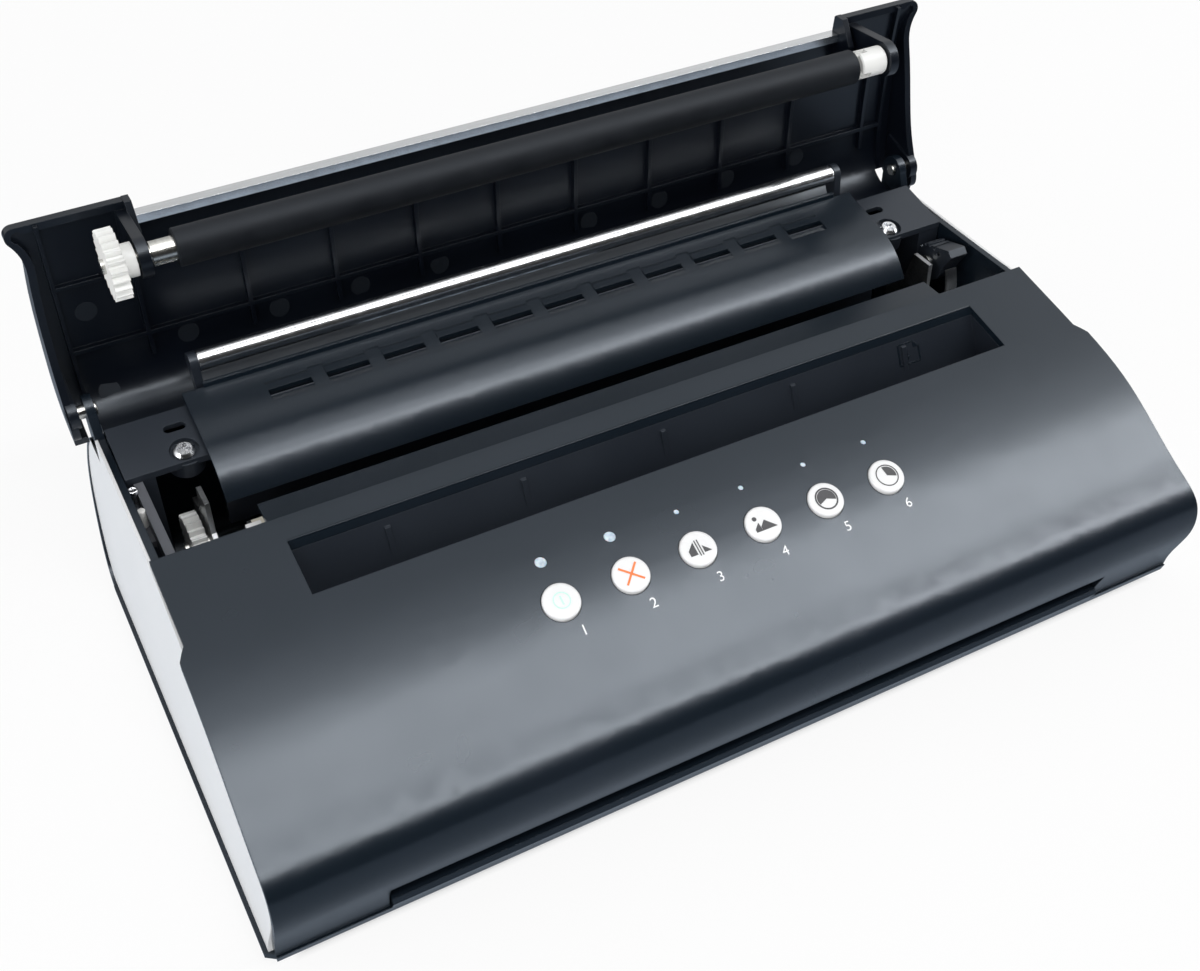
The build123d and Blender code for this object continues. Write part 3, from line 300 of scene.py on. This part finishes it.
CERAMIC = moulded_plastic("glazed_ceramic", (0.55, 0.52, 0.44), (0.66, 0.63, 0.54),
                          rough=(0.10, 0.18), grain=1.0 * MM)
RUBBER = roller_rubber_finish()
LAMP = lamp_finish()
GLASS = glass_finish()
CIRCUIT = circuit_finish()
INK_BLACK = ink_finish("ink_black", (0.012, 0.012, 0.014), (0.03, 0.03, 0.034))
INK_ORANGE = ink_finish("ink_orange", (0.80, 0.16, 0.03), (0.90, 0.24, 0.06))
INK_MINT = ink_finish("ink_mint", (0.52, 0.82, 0.72), (0.62, 0.88, 0.80))
INK_WHITE = ink_finish("ink_white", (0.80, 0.81, 0.82), (0.86, 0.87, 0.88))

FINISH_OF_SLOT = {
    "housing_black": HOUSING, "cover_black": COVER, "inner_black": INNER, "guide_black": GUIDE,
    "panel_white": WHITE, "button_white": KEY_WHITE, "lamp_lens": LAMP, "bright_strip": STRIP,
    "polished_rod": ROD, "roller_rubber": RUBBER, "shaft_steel": SHAFT, "gear_white": ACETAL,
    "sheet_steel": SHEET, "screw_steel": ZINC, "motor_steel": CAN, "heat_sink": ALLOY,
    "head_ceramic": CERAMIC, "scan_window": GLASS, "circuit_green": CIRCUIT, "foot_rubber": FOOT,
    "rail_grey": GREY,
}


def dress_nodes():
    """Gives every CAD node its finish and a welded, softly shaded surface."""
    for part in frame["record"]["subparts"]:
        node = NODES[part["node"]]
        node.data.materials.clear()
        node.data.materials.append(FINISH_OF_SLOT[part["material_slot"]])
        node.data.polygons.foreach_set("use_smooth", [True] * len(node.data.polygons))
        weld = node.modifiers.new("weld", "WELD")
        weld.merge_threshold = WELD_GAP
        split = node.modifiers.new("sharp_edges", "EDGE_SPLIT")
        split.split_angle = NODE_SHARP


# ---------------------------------------------------------------- helpers for modelling
def start_clean():
    """Nothing selected, object mode."""
    if bpy.context.object and bpy.context.object.mode != "OBJECT":
        bpy.ops.object.mode_set(mode="OBJECT")
    bpy.ops.object.select_all(action="DESELECT")


def pick(piece):
    """One piece selected and active, nothing else."""
    start_clean()
    piece.select_set(True)
    bpy.context.view_layer.objects.active = piece


def edit_all(piece):
    """Edit mode with the whole piece selected."""
    pick(piece)
    bpy.ops.object.mode_set(mode="EDIT")
    bpy.ops.mesh.select_all(action="SELECT")


def leave_edit():
    """Back to object mode."""
    bpy.ops.object.mode_set(mode="OBJECT")


def settle():
    """Takes the place, turn and scale of the picked piece into its mesh."""
    bpy.ops.object.transform_apply(location=True, rotation=True, scale=True)


def place(piece, matrix):
    """Moves a piece drawn flat on the table to its place, its object left at the origin."""
    pick(piece)
    piece.matrix_world = matrix @ piece.matrix_world
    settle()


def join(pieces, name):
    """One piece out of several."""
    start_clean()
    for piece in pieces:
        piece.select_set(True)
    bpy.context.view_layer.objects.active = pieces[0]
    if len(pieces) > 1:
        bpy.ops.object.join()
    pieces[0].name = name
    pieces[0].data.name = name
    return pieces[0]


def give_thickness(piece, thickness):
    """Extrudes a flat drawing upwards and turns its faces outwards."""
    edit_all(piece)
    bpy.ops.mesh.extrude_region_move(TRANSFORM_OT_translate={"value": (0, 0, thickness)})
    bpy.ops.mesh.select_all(action="SELECT")
    bpy.ops.mesh.normals_make_consistent(inside=False)
    leave_edit()


def soften(piece, width):
    """Rounds the rims of a turned piece and shades it smoothly."""
    rims = piece.modifiers.new("soft_rims", "BEVEL")
    rims.width = width
    rims.segments = 3
    bpy.ops.object.modifier_apply(modifier="soft_rims")
    bpy.ops.object.shade_smooth_by_angle(angle=PIECE_SHARP)


def finish_piece(piece, material, body):
    """Material and body of a finished piece."""
    piece.data.materials.clear()
    piece.data.materials.append(material)
    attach(piece, body)


def cylinder(name, radius, length, middle, corners, lying=False):
    """Round bar that stands up, or lies along the machine."""
    start_clean()
    turn = (0, pi / 2, 0) if lying else (0, 0, 0)
    bpy.ops.mesh.primitive_cylinder_add(vertices=corners, radius=radius, depth=length,
                                        location=middle, rotation=turn)
    piece = bpy.context.object
    settle()
    piece.name = name
    return piece


# ---------------------------------------------------------------- flat drawings, in millimetres
def disc(radius, middle=(0.0, 0.0), corners=48):
    """Filled circle."""
    start_clean()
    spot = (middle[0] * MM, middle[1] * MM, 0.0)
    bpy.ops.mesh.primitive_circle_add(vertices=corners, radius=radius * MM, fill_type="NGON",
                                      location=spot)
    settle()
    return bpy.context.object


def ring(outer, inner):
    """Circle with an open middle."""
    piece = disc(outer)
    edit_all(piece)
    bpy.ops.mesh.inset(thickness=(outer - inner) * MM)
    bpy.ops.mesh.delete(type="FACE")
    leave_edit()
    return piece


def bar(length, width, turn=0.0, middle=(0.0, 0.0)):
    """Bar through a middle, turned by an angle in degrees."""
    start_clean()
    spot = (middle[0] * MM, middle[1] * MM, 0.0)
    bpy.ops.mesh.primitive_plane_add(size=MM, location=spot, rotation=(0.0, 0.0, radians(turn)))
    piece = bpy.context.object
    piece.scale = (length, width, 1.0)
    settle()
    return piece


def trim(piece, start, end):
    """Cuts a drawing along the line from start to end and keeps what lies left of it."""
    edit_all(piece)
    right = (end[1] - start[1], start[0] - end[0], 0.0)
    bpy.ops.mesh.bisect(plane_co=(start[0] * MM, start[1] * MM, 0.0), plane_no=right,
                        clear_outer=True)
    leave_edit()


def wedge(radius, start, end):
    """Slice of a circle between two angles in degrees, half a turn at most."""
    piece = disc(radius)
    for angle, way in ((radians(start), 1.0), (radians(end), -1.0)):
        trim(piece, (0.0, 0.0), (way * cos(angle), way * sin(angle)))
    return piece


def triangle(a, b, c):
    """Triangle whose corners run anticlockwise."""
    low_x, high_x = min(a[0], b[0], c[0]), max(a[0], b[0], c[0])
    low_y, high_y = min(a[1], b[1], c[1]), max(a[1], b[1], c[1])
    piece = bar(high_x - low_x, high_y - low_y, 0.0, ((low_x + high_x) / 2, (low_y + high_y) / 2))
    for start, end in ((a, b), (b, c), (c, a)):
        trim(piece, start, end)
    return piece


# ---------------------------------------------------------------- signs on the keys
KEY_TILT = radians(22.5)                      # slope of the key field
KEY_TOP = 0.05 * MM                           # corners this near its highest one are a key's top
SIGN_SCALE = 1.38                             # how much larger than drawn a sign is printed
CROSS_TURN, CROSS_WIDTH = 48, 0.42            # turn in degrees and width of the cross's bars
CROSS_LONG, CROSS_SHORT, CROSS_REACH = 5.4, 2.5, 1.38
TONE_OUTER, TONE_FILL = 2.45, 2.0             # radii of a tone sign's ring and of its filling


def key_middle(number):
    """Middle of a key seen from above."""
    low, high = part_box(f"button_{number}")
    return (low.x + high.x) / 2, (low.y + high.y) / 2


def key_seat(number):
    """Matrix that lays a drawing on the top of a key, its up way pointing to the back."""
    corners = [corner.co for corner in NODES[f"button_{number}"].data.vertices]
    normal = Vector((0.0, -sin(KEY_TILT), cos(KEY_TILT)))
    top = max(normal.dot(corner) for corner in corners)
    rim = [corner for corner in corners if normal.dot(corner) > top - KEY_TOP]
    centre = sum(rim, Vector()) / len(rim)
    centre.x = key_middle(number)[0]
    seat = centre + normal * (top - normal.dot(centre) + INK_GAP)
    return Matrix.Translation(seat) @ Matrix.Rotation(KEY_TILT, 4, "X")


def start_sign():
    """Upright bar in a thin ring."""
    return [ring(1.75, 1.5), bar(0.35, 1.9)]


def stop_sign():
    """Cross of one long and two short bars."""
    x, y = CROSS_REACH * cos(radians(CROSS_TURN)), CROSS_REACH * sin(radians(CROSS_TURN))
    short = [bar(CROSS_SHORT, CROSS_WIDTH, CROSS_TURN, (side * x, side * y)) for side in (-1, 1)]
    return short + [bar(CROSS_LONG, CROSS_WIDTH, CROSS_TURN + 90)]


def mirror_sign():
    """Two triangles back to back with a double fold line."""
    left = triangle((-2.3, -1.3), (-0.75, -1.3), (-0.75, 1.45))
    right = triangle((0.75, -1.3), (2.3, -1.3), (0.75, 1.45))
    return [left, right] + [bar(0.22, 3.4, 0.0, (x, 0.0)) for x in (-0.28, 0.28)]


def picture_sign():
    """Two hills and a sun."""
    high_hill = triangle((-0.9, -1.5), (2.4, -1.5), (0.8, 1.1))
    low_hill = triangle((-2.3, -1.5), (-0.9, -1.5), (-1.0, 0.5))
    return [high_hill, low_hill, disc(0.48, (-1.5, 1.35), 24)]


def dark_tone_sign():
    """Ring filled for two thirds."""
    return [ring(TONE_OUTER, 2.12), wedge(TONE_FILL, -20, 150), wedge(TONE_FILL, 150, 205)]


def light_tone_sign():
    """Ring filled for a third."""
    return [ring(TONE_OUTER, 2.22), wedge(TONE_FILL, -25, 95)]


KEY_SIGNS = ((start_sign, INK_MINT), (stop_sign, INK_ORANGE), (mirror_sign, INK_BLACK),
             (picture_sign, INK_BLACK), (dark_tone_sign, INK_BLACK), (light_tone_sign, INK_BLACK))


def make_key_signs():
    """A printed sign on the top of each key."""
    for number, (draw, ink) in enumerate(KEY_SIGNS, start=1):
        sign = join(draw(), f"key_sign_{number}")
        give_thickness(sign, INK)
        place(sign, key_seat(number) @ Matrix.Diagonal((SIGN_SCALE, SIGN_SCALE, 1.0, 1.0)))
        finish_piece(sign, ink, f"key_{number}")


# ---------------------------------------------------------------- numbers beside the keys
LABEL_SHIFT = (2.6 * MM, -8.9 * MM)           # from a key's middle to its number
LABEL_HEIGHT = 2.9 * MM
DIGIT_SHARE = 0.72                            # height of a digit as a share of its letter size


def deck_seat(x, y):
    """Matrix that lays a drawing on the deck at a place seen from above."""
    _, spot, normal, _ = NODES["top_housing"].ray_cast(Vector((x, y, ABOVE_ALL)), DOWN)
    tilt = atan2(-normal.y, normal.z)
    return Matrix.Translation(spot + normal * INK_GAP) @ Matrix.Rotation(tilt, 4, "X")


def digit(text, height, name):
    """Plain number, drawn flat and centred."""
    start_clean()
    bpy.ops.object.text_add(location=(0, 0, 0))
    letter = bpy.context.object
    letter.data.body = text
    letter.data.align_x = "CENTER"
    letter.data.align_y = "CENTER"
    letter.data.size = height / DIGIT_SHARE
    bpy.ops.object.convert(target="MESH")
    letter.name = name
    return letter


def make_key_numbers():
    """Plain numbers printed on the deck, one beside each key."""
    for number in range(1, len(KEY_SIGNS) + 1):
        x, y = key_middle(number)
        mark = digit(str(number), LABEL_HEIGHT, f"key_number_{number}")
        give_thickness(mark, INK)
        place(mark, deck_seat(x + LABEL_SHIFT[0], y + LABEL_SHIFT[1]))
        finish_piece(mark, INK_WHITE, "base")


# ---------------------------------------------------------------- page sign in the trough
PAGE_AT = (89.8 * MM, 59.8 * MM)              # its middle, along the trough and up
PAGE_FROM_Y = -0.016                          # a place in the open trough, before its rear wall
PAGE_SIZE = (7.4, 6.6)
PAGE_FOLD, PAGE_LINE = 2.0, 0.55
PAGE_RELIEF, PAGE_SINK = 0.12 * MM, 0.03 * MM


def wall_seat(node, x, z, start_y, sink):
    """Matrix that lays a drawing on a wall that faces the front, its up way pointing up."""
    _, spot, normal, _ = NODES[node].ray_cast(Vector((x, start_y, z)), BACKWARDS)
    side = Vector((1, 0, 0))
    side = (side - normal * side.dot(normal)).normalized()
    turn = Matrix((side, normal.cross(side), normal)).transposed().to_4x4()
    return Matrix.Translation(spot - normal * sink) @ turn


def make_page_sign():
    """Outline of a page with a folded corner and an arrow, raised on the trough's rear wall."""
    wide, high = PAGE_SIZE
    left, right, top, foot = -wide / 2, wide / 2, high / 2, -high / 2
    fold_x, fold_y = right - PAGE_FOLD, top - PAGE_FOLD
    lines = [
        bar(PAGE_LINE, high, 0.0, (left, 0.0)),
        bar(wide, PAGE_LINE, 0.0, (0.0, foot)),
        bar(PAGE_LINE, high - PAGE_FOLD, 0.0, (right, -PAGE_FOLD / 2)),
        bar(wide - PAGE_FOLD, PAGE_LINE, 0.0, (-PAGE_FOLD / 2, top)),
        triangle((fold_x, fold_y), (right + PAGE_LINE / 2, fold_y), (fold_x, top)),
        bar(PAGE_LINE, 2.6, 0.0, (-0.8, -0.2)),
        triangle((-2.0, -0.9), (-0.8, -2.2), (0.4, -0.9)),
    ]
    sign = join(lines, "trough_page_sign")
    give_thickness(sign, PAGE_RELIEF)
    place(sign, wall_seat("feed_trough", *PAGE_AT, PAGE_FROM_Y, PAGE_SINK))
    finish_piece(sign, GUIDE, "base")


# ---------------------------------------------------------------- moulding marks in the cover
MARK_RADIUS = 3.1
MARK_HEIGHT = 0.18 * MM
MARK_FROM_Y = 0.0                             # a place before the open cover
MARK_PLACES = ((-105.0, 80.0), (-77.5, 79.5), (-52.0, 79.0), (-26.0, 78.5), (-131.0, 96.0),
               (-131.0, 70.0), (26.0, 78.5), (52.0, 79.0), (77.5, 79.5), (105.0, 80.0))


def make_cover_marks():
    """Round marks of the ejector pins on the inner wall of the cover."""
    for number, (x, z) in enumerate(MARK_PLACES, start=1):
        mark = join([disc(MARK_RADIUS)], f"cover_mark_{number:02d}")
        give_thickness(mark, MARK_HEIGHT)
        place(mark, wall_seat("cover", x * MM, z * MM, MARK_FROM_Y, MARK_HEIGHT / 3))
        finish_piece(mark, MARK, "cover")


# ---------------------------------------------------------------- rim of the trough
RIM_RADIUS, RIM_SOFTNESS = 0.45 * MM, 0.1 * MM
RIM_RISE = 0.12 * MM                          # how far the rim stands over the deck
TROUGH_LEFT, TROUGH_RIGHT = -106.0 * MM, 114.0 * MM
RIM_REAR_Y = -4.3 * MM


def make_trough_rim():
    """Thin rounded bead along the rear edge of the trough, which catches the light."""
    _, spot, _, _ = NODES["top_housing"].ray_cast(Vector((0, RIM_REAR_Y, ABOVE_ALL)), DOWN)
    middle = ((TROUGH_LEFT + TROUGH_RIGHT) / 2, RIM_REAR_Y, spot.z + RIM_RISE - RIM_RADIUS)
    bead = cylinder("trough_rim", RIM_RADIUS, TROUGH_RIGHT - TROUGH_LEFT, middle, 16, lying=True)
    edit_all(bead)
    bpy.ops.mesh.bevel(offset=RIM_SOFTNESS, segments=2)
    leave_edit()
    bpy.ops.object.shade_smooth_by_angle(angle=PIECE_SHARP)
    finish_piece(bead, HOUSING, "base")


# ---------------------------------------------------------------- polished rod
ROD_RADIUS, ROD_END = 3.15 * MM, 0.5 * MM


def make_guide_rod():
    """Polished rod with rounded ends between its brackets, where the plain one is."""
    low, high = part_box("guide_rod")
    rod = cylinder("guide_rod_polished", ROD_RADIUS, high.x - low.x, (low + high) / 2, 64,
                   lying=True)
    soften(rod, ROD_END)
    finish_piece(rod, ROD, "base")
    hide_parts("guide_rod")


# ---------------------------------------------------------------- fittings of the left bay
RAIL_TOP = 59.2 * MM
BAY_X = -136.2 * MM
SCREW_Y, STOP_Y = 35.8 * MM, 28.1 * MM
HEAD_RADIUS, HEAD_FOOT, HEAD_HEIGHT = 1.5 * MM, RAIL_TOP + 5.7 * MM, 1.3 * MM
RECESS_SIZE, RECESS_Z = (1.7, 0.4, 1.0), RAIL_TOP + 7.0 * MM
POST_FOOT = RAIL_TOP - 0.05 * MM              # the posts reach a little into the rail
SHANK_RADIUS, SHANK_HEIGHT = 0.8 * MM, 5.9 * MM
STOP_RADIUS, STOP_HEIGHT = 1.15 * MM, 5.6 * MM
POST_SOFTNESS = 0.22                          # rounding of its rims as a share of a post's radius


def post(name, radius, foot, height, y):
    """Upright round piece over the rail, with rounded rims."""
    piece = cylinder(name, radius, height, (BAY_X, y, foot + height / 2), 32)
    soften(piece, radius * POST_SOFTNESS)
    return piece


def cut_recess(head, turn):
    """Cuts one slot of the cross recess into the head of the screw."""
    start_clean()
    bpy.ops.mesh.primitive_cube_add(size=MM, location=(BAY_X, SCREW_Y, RECESS_Z),
                                    rotation=(0, 0, turn))
    slot = bpy.context.object
    slot.scale = RECESS_SIZE
    settle()
    cut = head.modifiers.new("recess", "BOOLEAN")
    cut.operation = "DIFFERENCE"
    cut.object = slot
    pick(head)
    bpy.ops.object.modifier_apply(modifier="recess")
    bpy.data.objects.remove(slot)


def make_bay_fittings():
    """Screw with a cross recess and a white stop on the rail."""
    head = post("bay_screw_head", HEAD_RADIUS, HEAD_FOOT, HEAD_HEIGHT, SCREW_Y)
    for turn in (0.0, pi / 2):
        cut_recess(head, turn)
    shank = post("bay_screw_shank", SHANK_RADIUS, POST_FOOT, SHANK_HEIGHT, SCREW_Y)
    finish_piece(join([head, shank], "bay_screw"), ZINC, "base")
    stop = post("bay_stop", STOP_RADIUS, POST_FOOT, STOP_HEIGHT, STOP_Y)
    finish_piece(stop, ACETAL, "base")


def make_head_springs():
    """Welded, smoothly shaded copy of the head springs, which stands in for the node."""
    start_clean()
    coils = bpy.data.objects.new("head_spring_coils", NODES["head_springs"].data.copy())
    bpy.context.scene.collection.objects.link(coils)
    edit_all(coils)
    bpy.ops.mesh.remove_doubles(threshold=WELD_GAP)
    bpy.ops.mesh.normals_make_consistent(inside=False)
    leave_edit()
    bpy.ops.object.shade_smooth_by_angle(angle=PIECE_SHARP)
    finish_piece(coils, SHAFT, "base")
    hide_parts("head_springs")
    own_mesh(coils)


# ---------------------------------------------------------------- camera
CAMERA_AT = (-0.16507, -0.29537, 0.33252)
CAMERA_RIGHT = (0.883306, -0.468604, -0.013430)
CAMERA_DOWN = (-0.316705, -0.575369, -0.754088)
CAMERA_FORWARD = (0.345641, 0.670344, -0.656636)
LENS_MM, SENSOR_MM = 45.28, 36.0
NEAREST_SEEN = 0.01


def make_camera():
    """Camera above the left front corner."""
    data = bpy.data.cameras.new("camera")
    data.lens = LENS_MM
    data.sensor_width = SENSOR_MM
    data.clip_start = NEAREST_SEEN
    camera = bpy.data.objects.new("camera", data)
    bpy.context.scene.collection.objects.link(camera)
    right, down, forward = Vector(CAMERA_RIGHT), Vector(CAMERA_DOWN), Vector(CAMERA_FORWARD)
    turn = Matrix((right, -down, -forward)).transposed().to_4x4()
    camera.matrix_world = Matrix.Translation(CAMERA_AT) @ turn
    bpy.context.scene.camera = camera


# ---------------------------------------------------------------- floor
PURE_WHITE = (1.0, 1.0, 1.0)
FLOOR_SIZE, FLOOR_Z = 12.0, -0.1 * MM
FLOOR_DARK, FLOOR_LIGHT = (0.80, 0.80, 0.80), (0.83, 0.83, 0.83)
FLOOR_GLOW = 0.88                             # share of the floor's white that no shadow dims
UNDER_X, UNDER_Y = 0.140, 0.078               # half sizes of the floor that the machine covers
UNDER_EDGE = 0.94                             # where the floor begins to open, in half sizes
FLOOR_GLOSS = (0.36, 0.42, 0.50)              # how the floor near the object looks in a gloss
FLOOR_NEAR, FLOOR_FAR = 0.22, 0.75            # between these distances it fades in a gloss
FLOOR_LEFT = 0.02                             # what is left of it beyond them


def background_share(tree, rays):
    """1 for rays of the named kinds and 0 for all others."""
    path = tree.nodes.new("ShaderNodeLightPath")
    share = path.outputs[rays[0]]
    for ray in rays[1:]:
        share = reckon(tree, "MAXIMUM", share, path.outputs[ray])
    return share


def open_floor(tree, coords):
    """Share of the floor's own white: none under the machine, full beside it."""
    where = tree.nodes.new("ShaderNodeSeparateXYZ")
    tree.links.new(coords, where.inputs["Vector"])
    sides = [reckon(tree, "DIVIDE", reckon(tree, "ABSOLUTE", where.outputs[axis]), half)
             for axis, half in (("X", UNDER_X), ("Y", UNDER_Y))]
    rise = tree.nodes.new("ShaderNodeMapRange")
    rise.inputs["From Min"].default_value = UNDER_EDGE
    rise.inputs["To Max"].default_value = FLOOR_GLOW
    tree.links.new(reckon(tree, "MAXIMUM", *sides), rise.inputs["Value"])
    return rise.outputs["Result"]


def fade_away(tree, coords):
    """1 near the object, falling off with the distance from it."""
    distance = tree.nodes.new("ShaderNodeVectorMath")
    distance.operation = "LENGTH"
    tree.links.new(coords, distance.inputs[0])
    fade = tree.nodes.new("ShaderNodeMapRange")
    fade.interpolation_type = "SMOOTHSTEP"
    fade.inputs["From Min"].default_value = FLOOR_NEAR
    fade.inputs["From Max"].default_value = FLOOR_FAR
    fade.inputs["To Min"].default_value = 1.0
    fade.inputs["To Max"].default_value = FLOOR_LEFT
    tree.links.new(distance.outputs["Value"], fade.inputs["Value"])
    return fade.outputs["Result"]


def make_floor():
    """Pale floor that shows white to the camera and keeps a faint shadow."""
    start_clean()
    bpy.ops.mesh.primitive_plane_add(size=FLOOR_SIZE, location=(0, 0, FLOOR_Z))
    floor = bpy.context.object
    floor.name = "floor"
    material, tree, shader, coords = new_finish("pale_floor")
    patches = speckle(tree, coords, 0.3)
    wire(tree, shader, colour=shade_between(tree, patches, FLOOR_DARK, FLOOR_LIGHT))
    shader.inputs["Roughness"].default_value = 0.9
    background = background_share(tree, ("Is Camera Ray", "Is Transmission Ray"))
    share = reckon(tree, "MULTIPLY", background, open_floor(tree, coords))
    white = plain_light(tree, "Emission", PURE_WHITE)
    seen = either_shader(tree, share, shader.outputs["BSDF"], white)
    mirrored = plain_light(tree, "Emission", FLOOR_GLOSS, fade_away(tree, coords))
    mix = either_shader(tree, background_share(tree, ("Is Glossy Ray",)), seen, mirrored)
    tree.links.new(mix, tree.nodes["Material Output"].inputs["Surface"])
    floor.data.materials.append(material)


# ---------------------------------------------------------------- world
SKY = (0.98, 0.99, 1.0)
SKY_LEVEL = 0.42                              # soft light from all round
ROOM_LEVEL = 6.0                              # brightest band of the room, as a gloss shows it
ROOM_STEPS = ((-0.62, 0.003), (-0.45, 0.03), (-0.37, 1.0), (-0.31, 1.0), (-0.20, 0.50),
              (0.0, 0.38), (0.25, 0.18), (0.9, 0.09))   # way to the back, share of the level


def room_share(tree):
    """How bright the room is where a reflected ray goes, dark in front of the machine."""
    way = tree.nodes.new("ShaderNodeSeparateXYZ")
    ray = tree.nodes.new("ShaderNodeTexCoord").outputs["Generated"]
    tree.links.new(ray, way.inputs["Vector"])
    half = tree.nodes.new("ShaderNodeMapRange")
    half.inputs["From Min"].default_value = -1.0
    tree.links.new(way.outputs["Y"], half.inputs["Value"])
    ramp = tree.nodes.new("ShaderNodeValToRGB")
    steps = ramp.color_ramp.elements
    places = [(slope + 1.0) / 2 for slope, _ in ROOM_STEPS]
    for middle in places[1:-1]:
        steps.new(middle)
    steps[0].position = places[0]
    steps[len(ROOM_STEPS) - 1].position = places[-1]
    for step, (_, share) in zip(steps, ROOM_STEPS):
        step.color = (share, share, share, 1.0)
    tree.links.new(half.outputs["Result"], ramp.inputs["Fac"])
    return ramp.outputs["Color"]


def make_world():
    """White background, soft light, and a room that only reflections see."""
    world = bpy.data.worlds.new("studio")
    bpy.context.scene.world = world
    world.use_nodes = True
    tree = world.node_tree
    soft = tree.nodes["Background"]
    soft.inputs["Color"].default_value = (*SKY, 1.0)
    soft.inputs["Strength"].default_value = SKY_LEVEL
    level = reckon(tree, "MULTIPLY", room_share(tree), ROOM_LEVEL)
    room = plain_light(tree, "Background", SKY, level)
    gloss = either_shader(tree, background_share(tree, ("Is Glossy Ray",)),
                          soft.outputs["Background"], room)
    white = plain_light(tree, "Background", PURE_WHITE)
    mix = either_shader(tree, background_share(tree, ("Is Camera Ray", "Is Transmission Ray")),
                        gloss, white)
    tree.links.new(mix, tree.nodes["World Output"].inputs["Surface"])


# ---------------------------------------------------------------- lamps
MIDDLE = (0.0, 0.0, 0.05)
FILL_SIZE = (0.8, 0.5)
LAMPS = (                                     # name, place, aim, size, watts, seen in a gloss
    ("long_strip", (0.62, -0.60, 1.15), (0.62, -0.05, 0.05), (1.9, 0.12), 10.0, True),
    ("front_fill", (-0.60, -0.95, 0.50), MIDDLE, (0.9, 0.7), 5.0, False),
    ("left_fill", (-1.10, 0.05, 0.35), MIDDLE, FILL_SIZE, 4.6, False),
    ("right_fill", (1.10, 0.10, 0.35), MIDDLE, FILL_SIZE, 2.8, False),
    ("rear_fill", (0.0, 1.10, 0.40), MIDDLE, FILL_SIZE, 2.2, False),
)


def make_lights():
    """Rectangular lamps that point at the machine."""
    for name, at, aim, size, watts, mirrored in LAMPS:
        data = bpy.data.lights.new(name, "AREA")
        data.shape = "RECTANGLE"
        data.size, data.size_y = size
        data.energy = watts
        lamp = bpy.data.objects.new(name, data)
        lamp.visible_glossy = mirrored
        bpy.context.scene.collection.objects.link(lamp)
        turn = (Vector(aim) - Vector(at)).to_track_quat("-Z", "Y").to_matrix().to_4x4()
        lamp.matrix_world = Matrix.Translation(at) @ turn


bpy.context.scene.view_settings.view_transform = "Standard"
dress_nodes()
make_key_signs()
make_key_numbers()
make_page_sign()
make_cover_marks()
make_trough_rim()
make_guide_rod()
make_bay_fittings()
make_head_springs()
make_camera()
make_floor()
make_world()
make_lights()
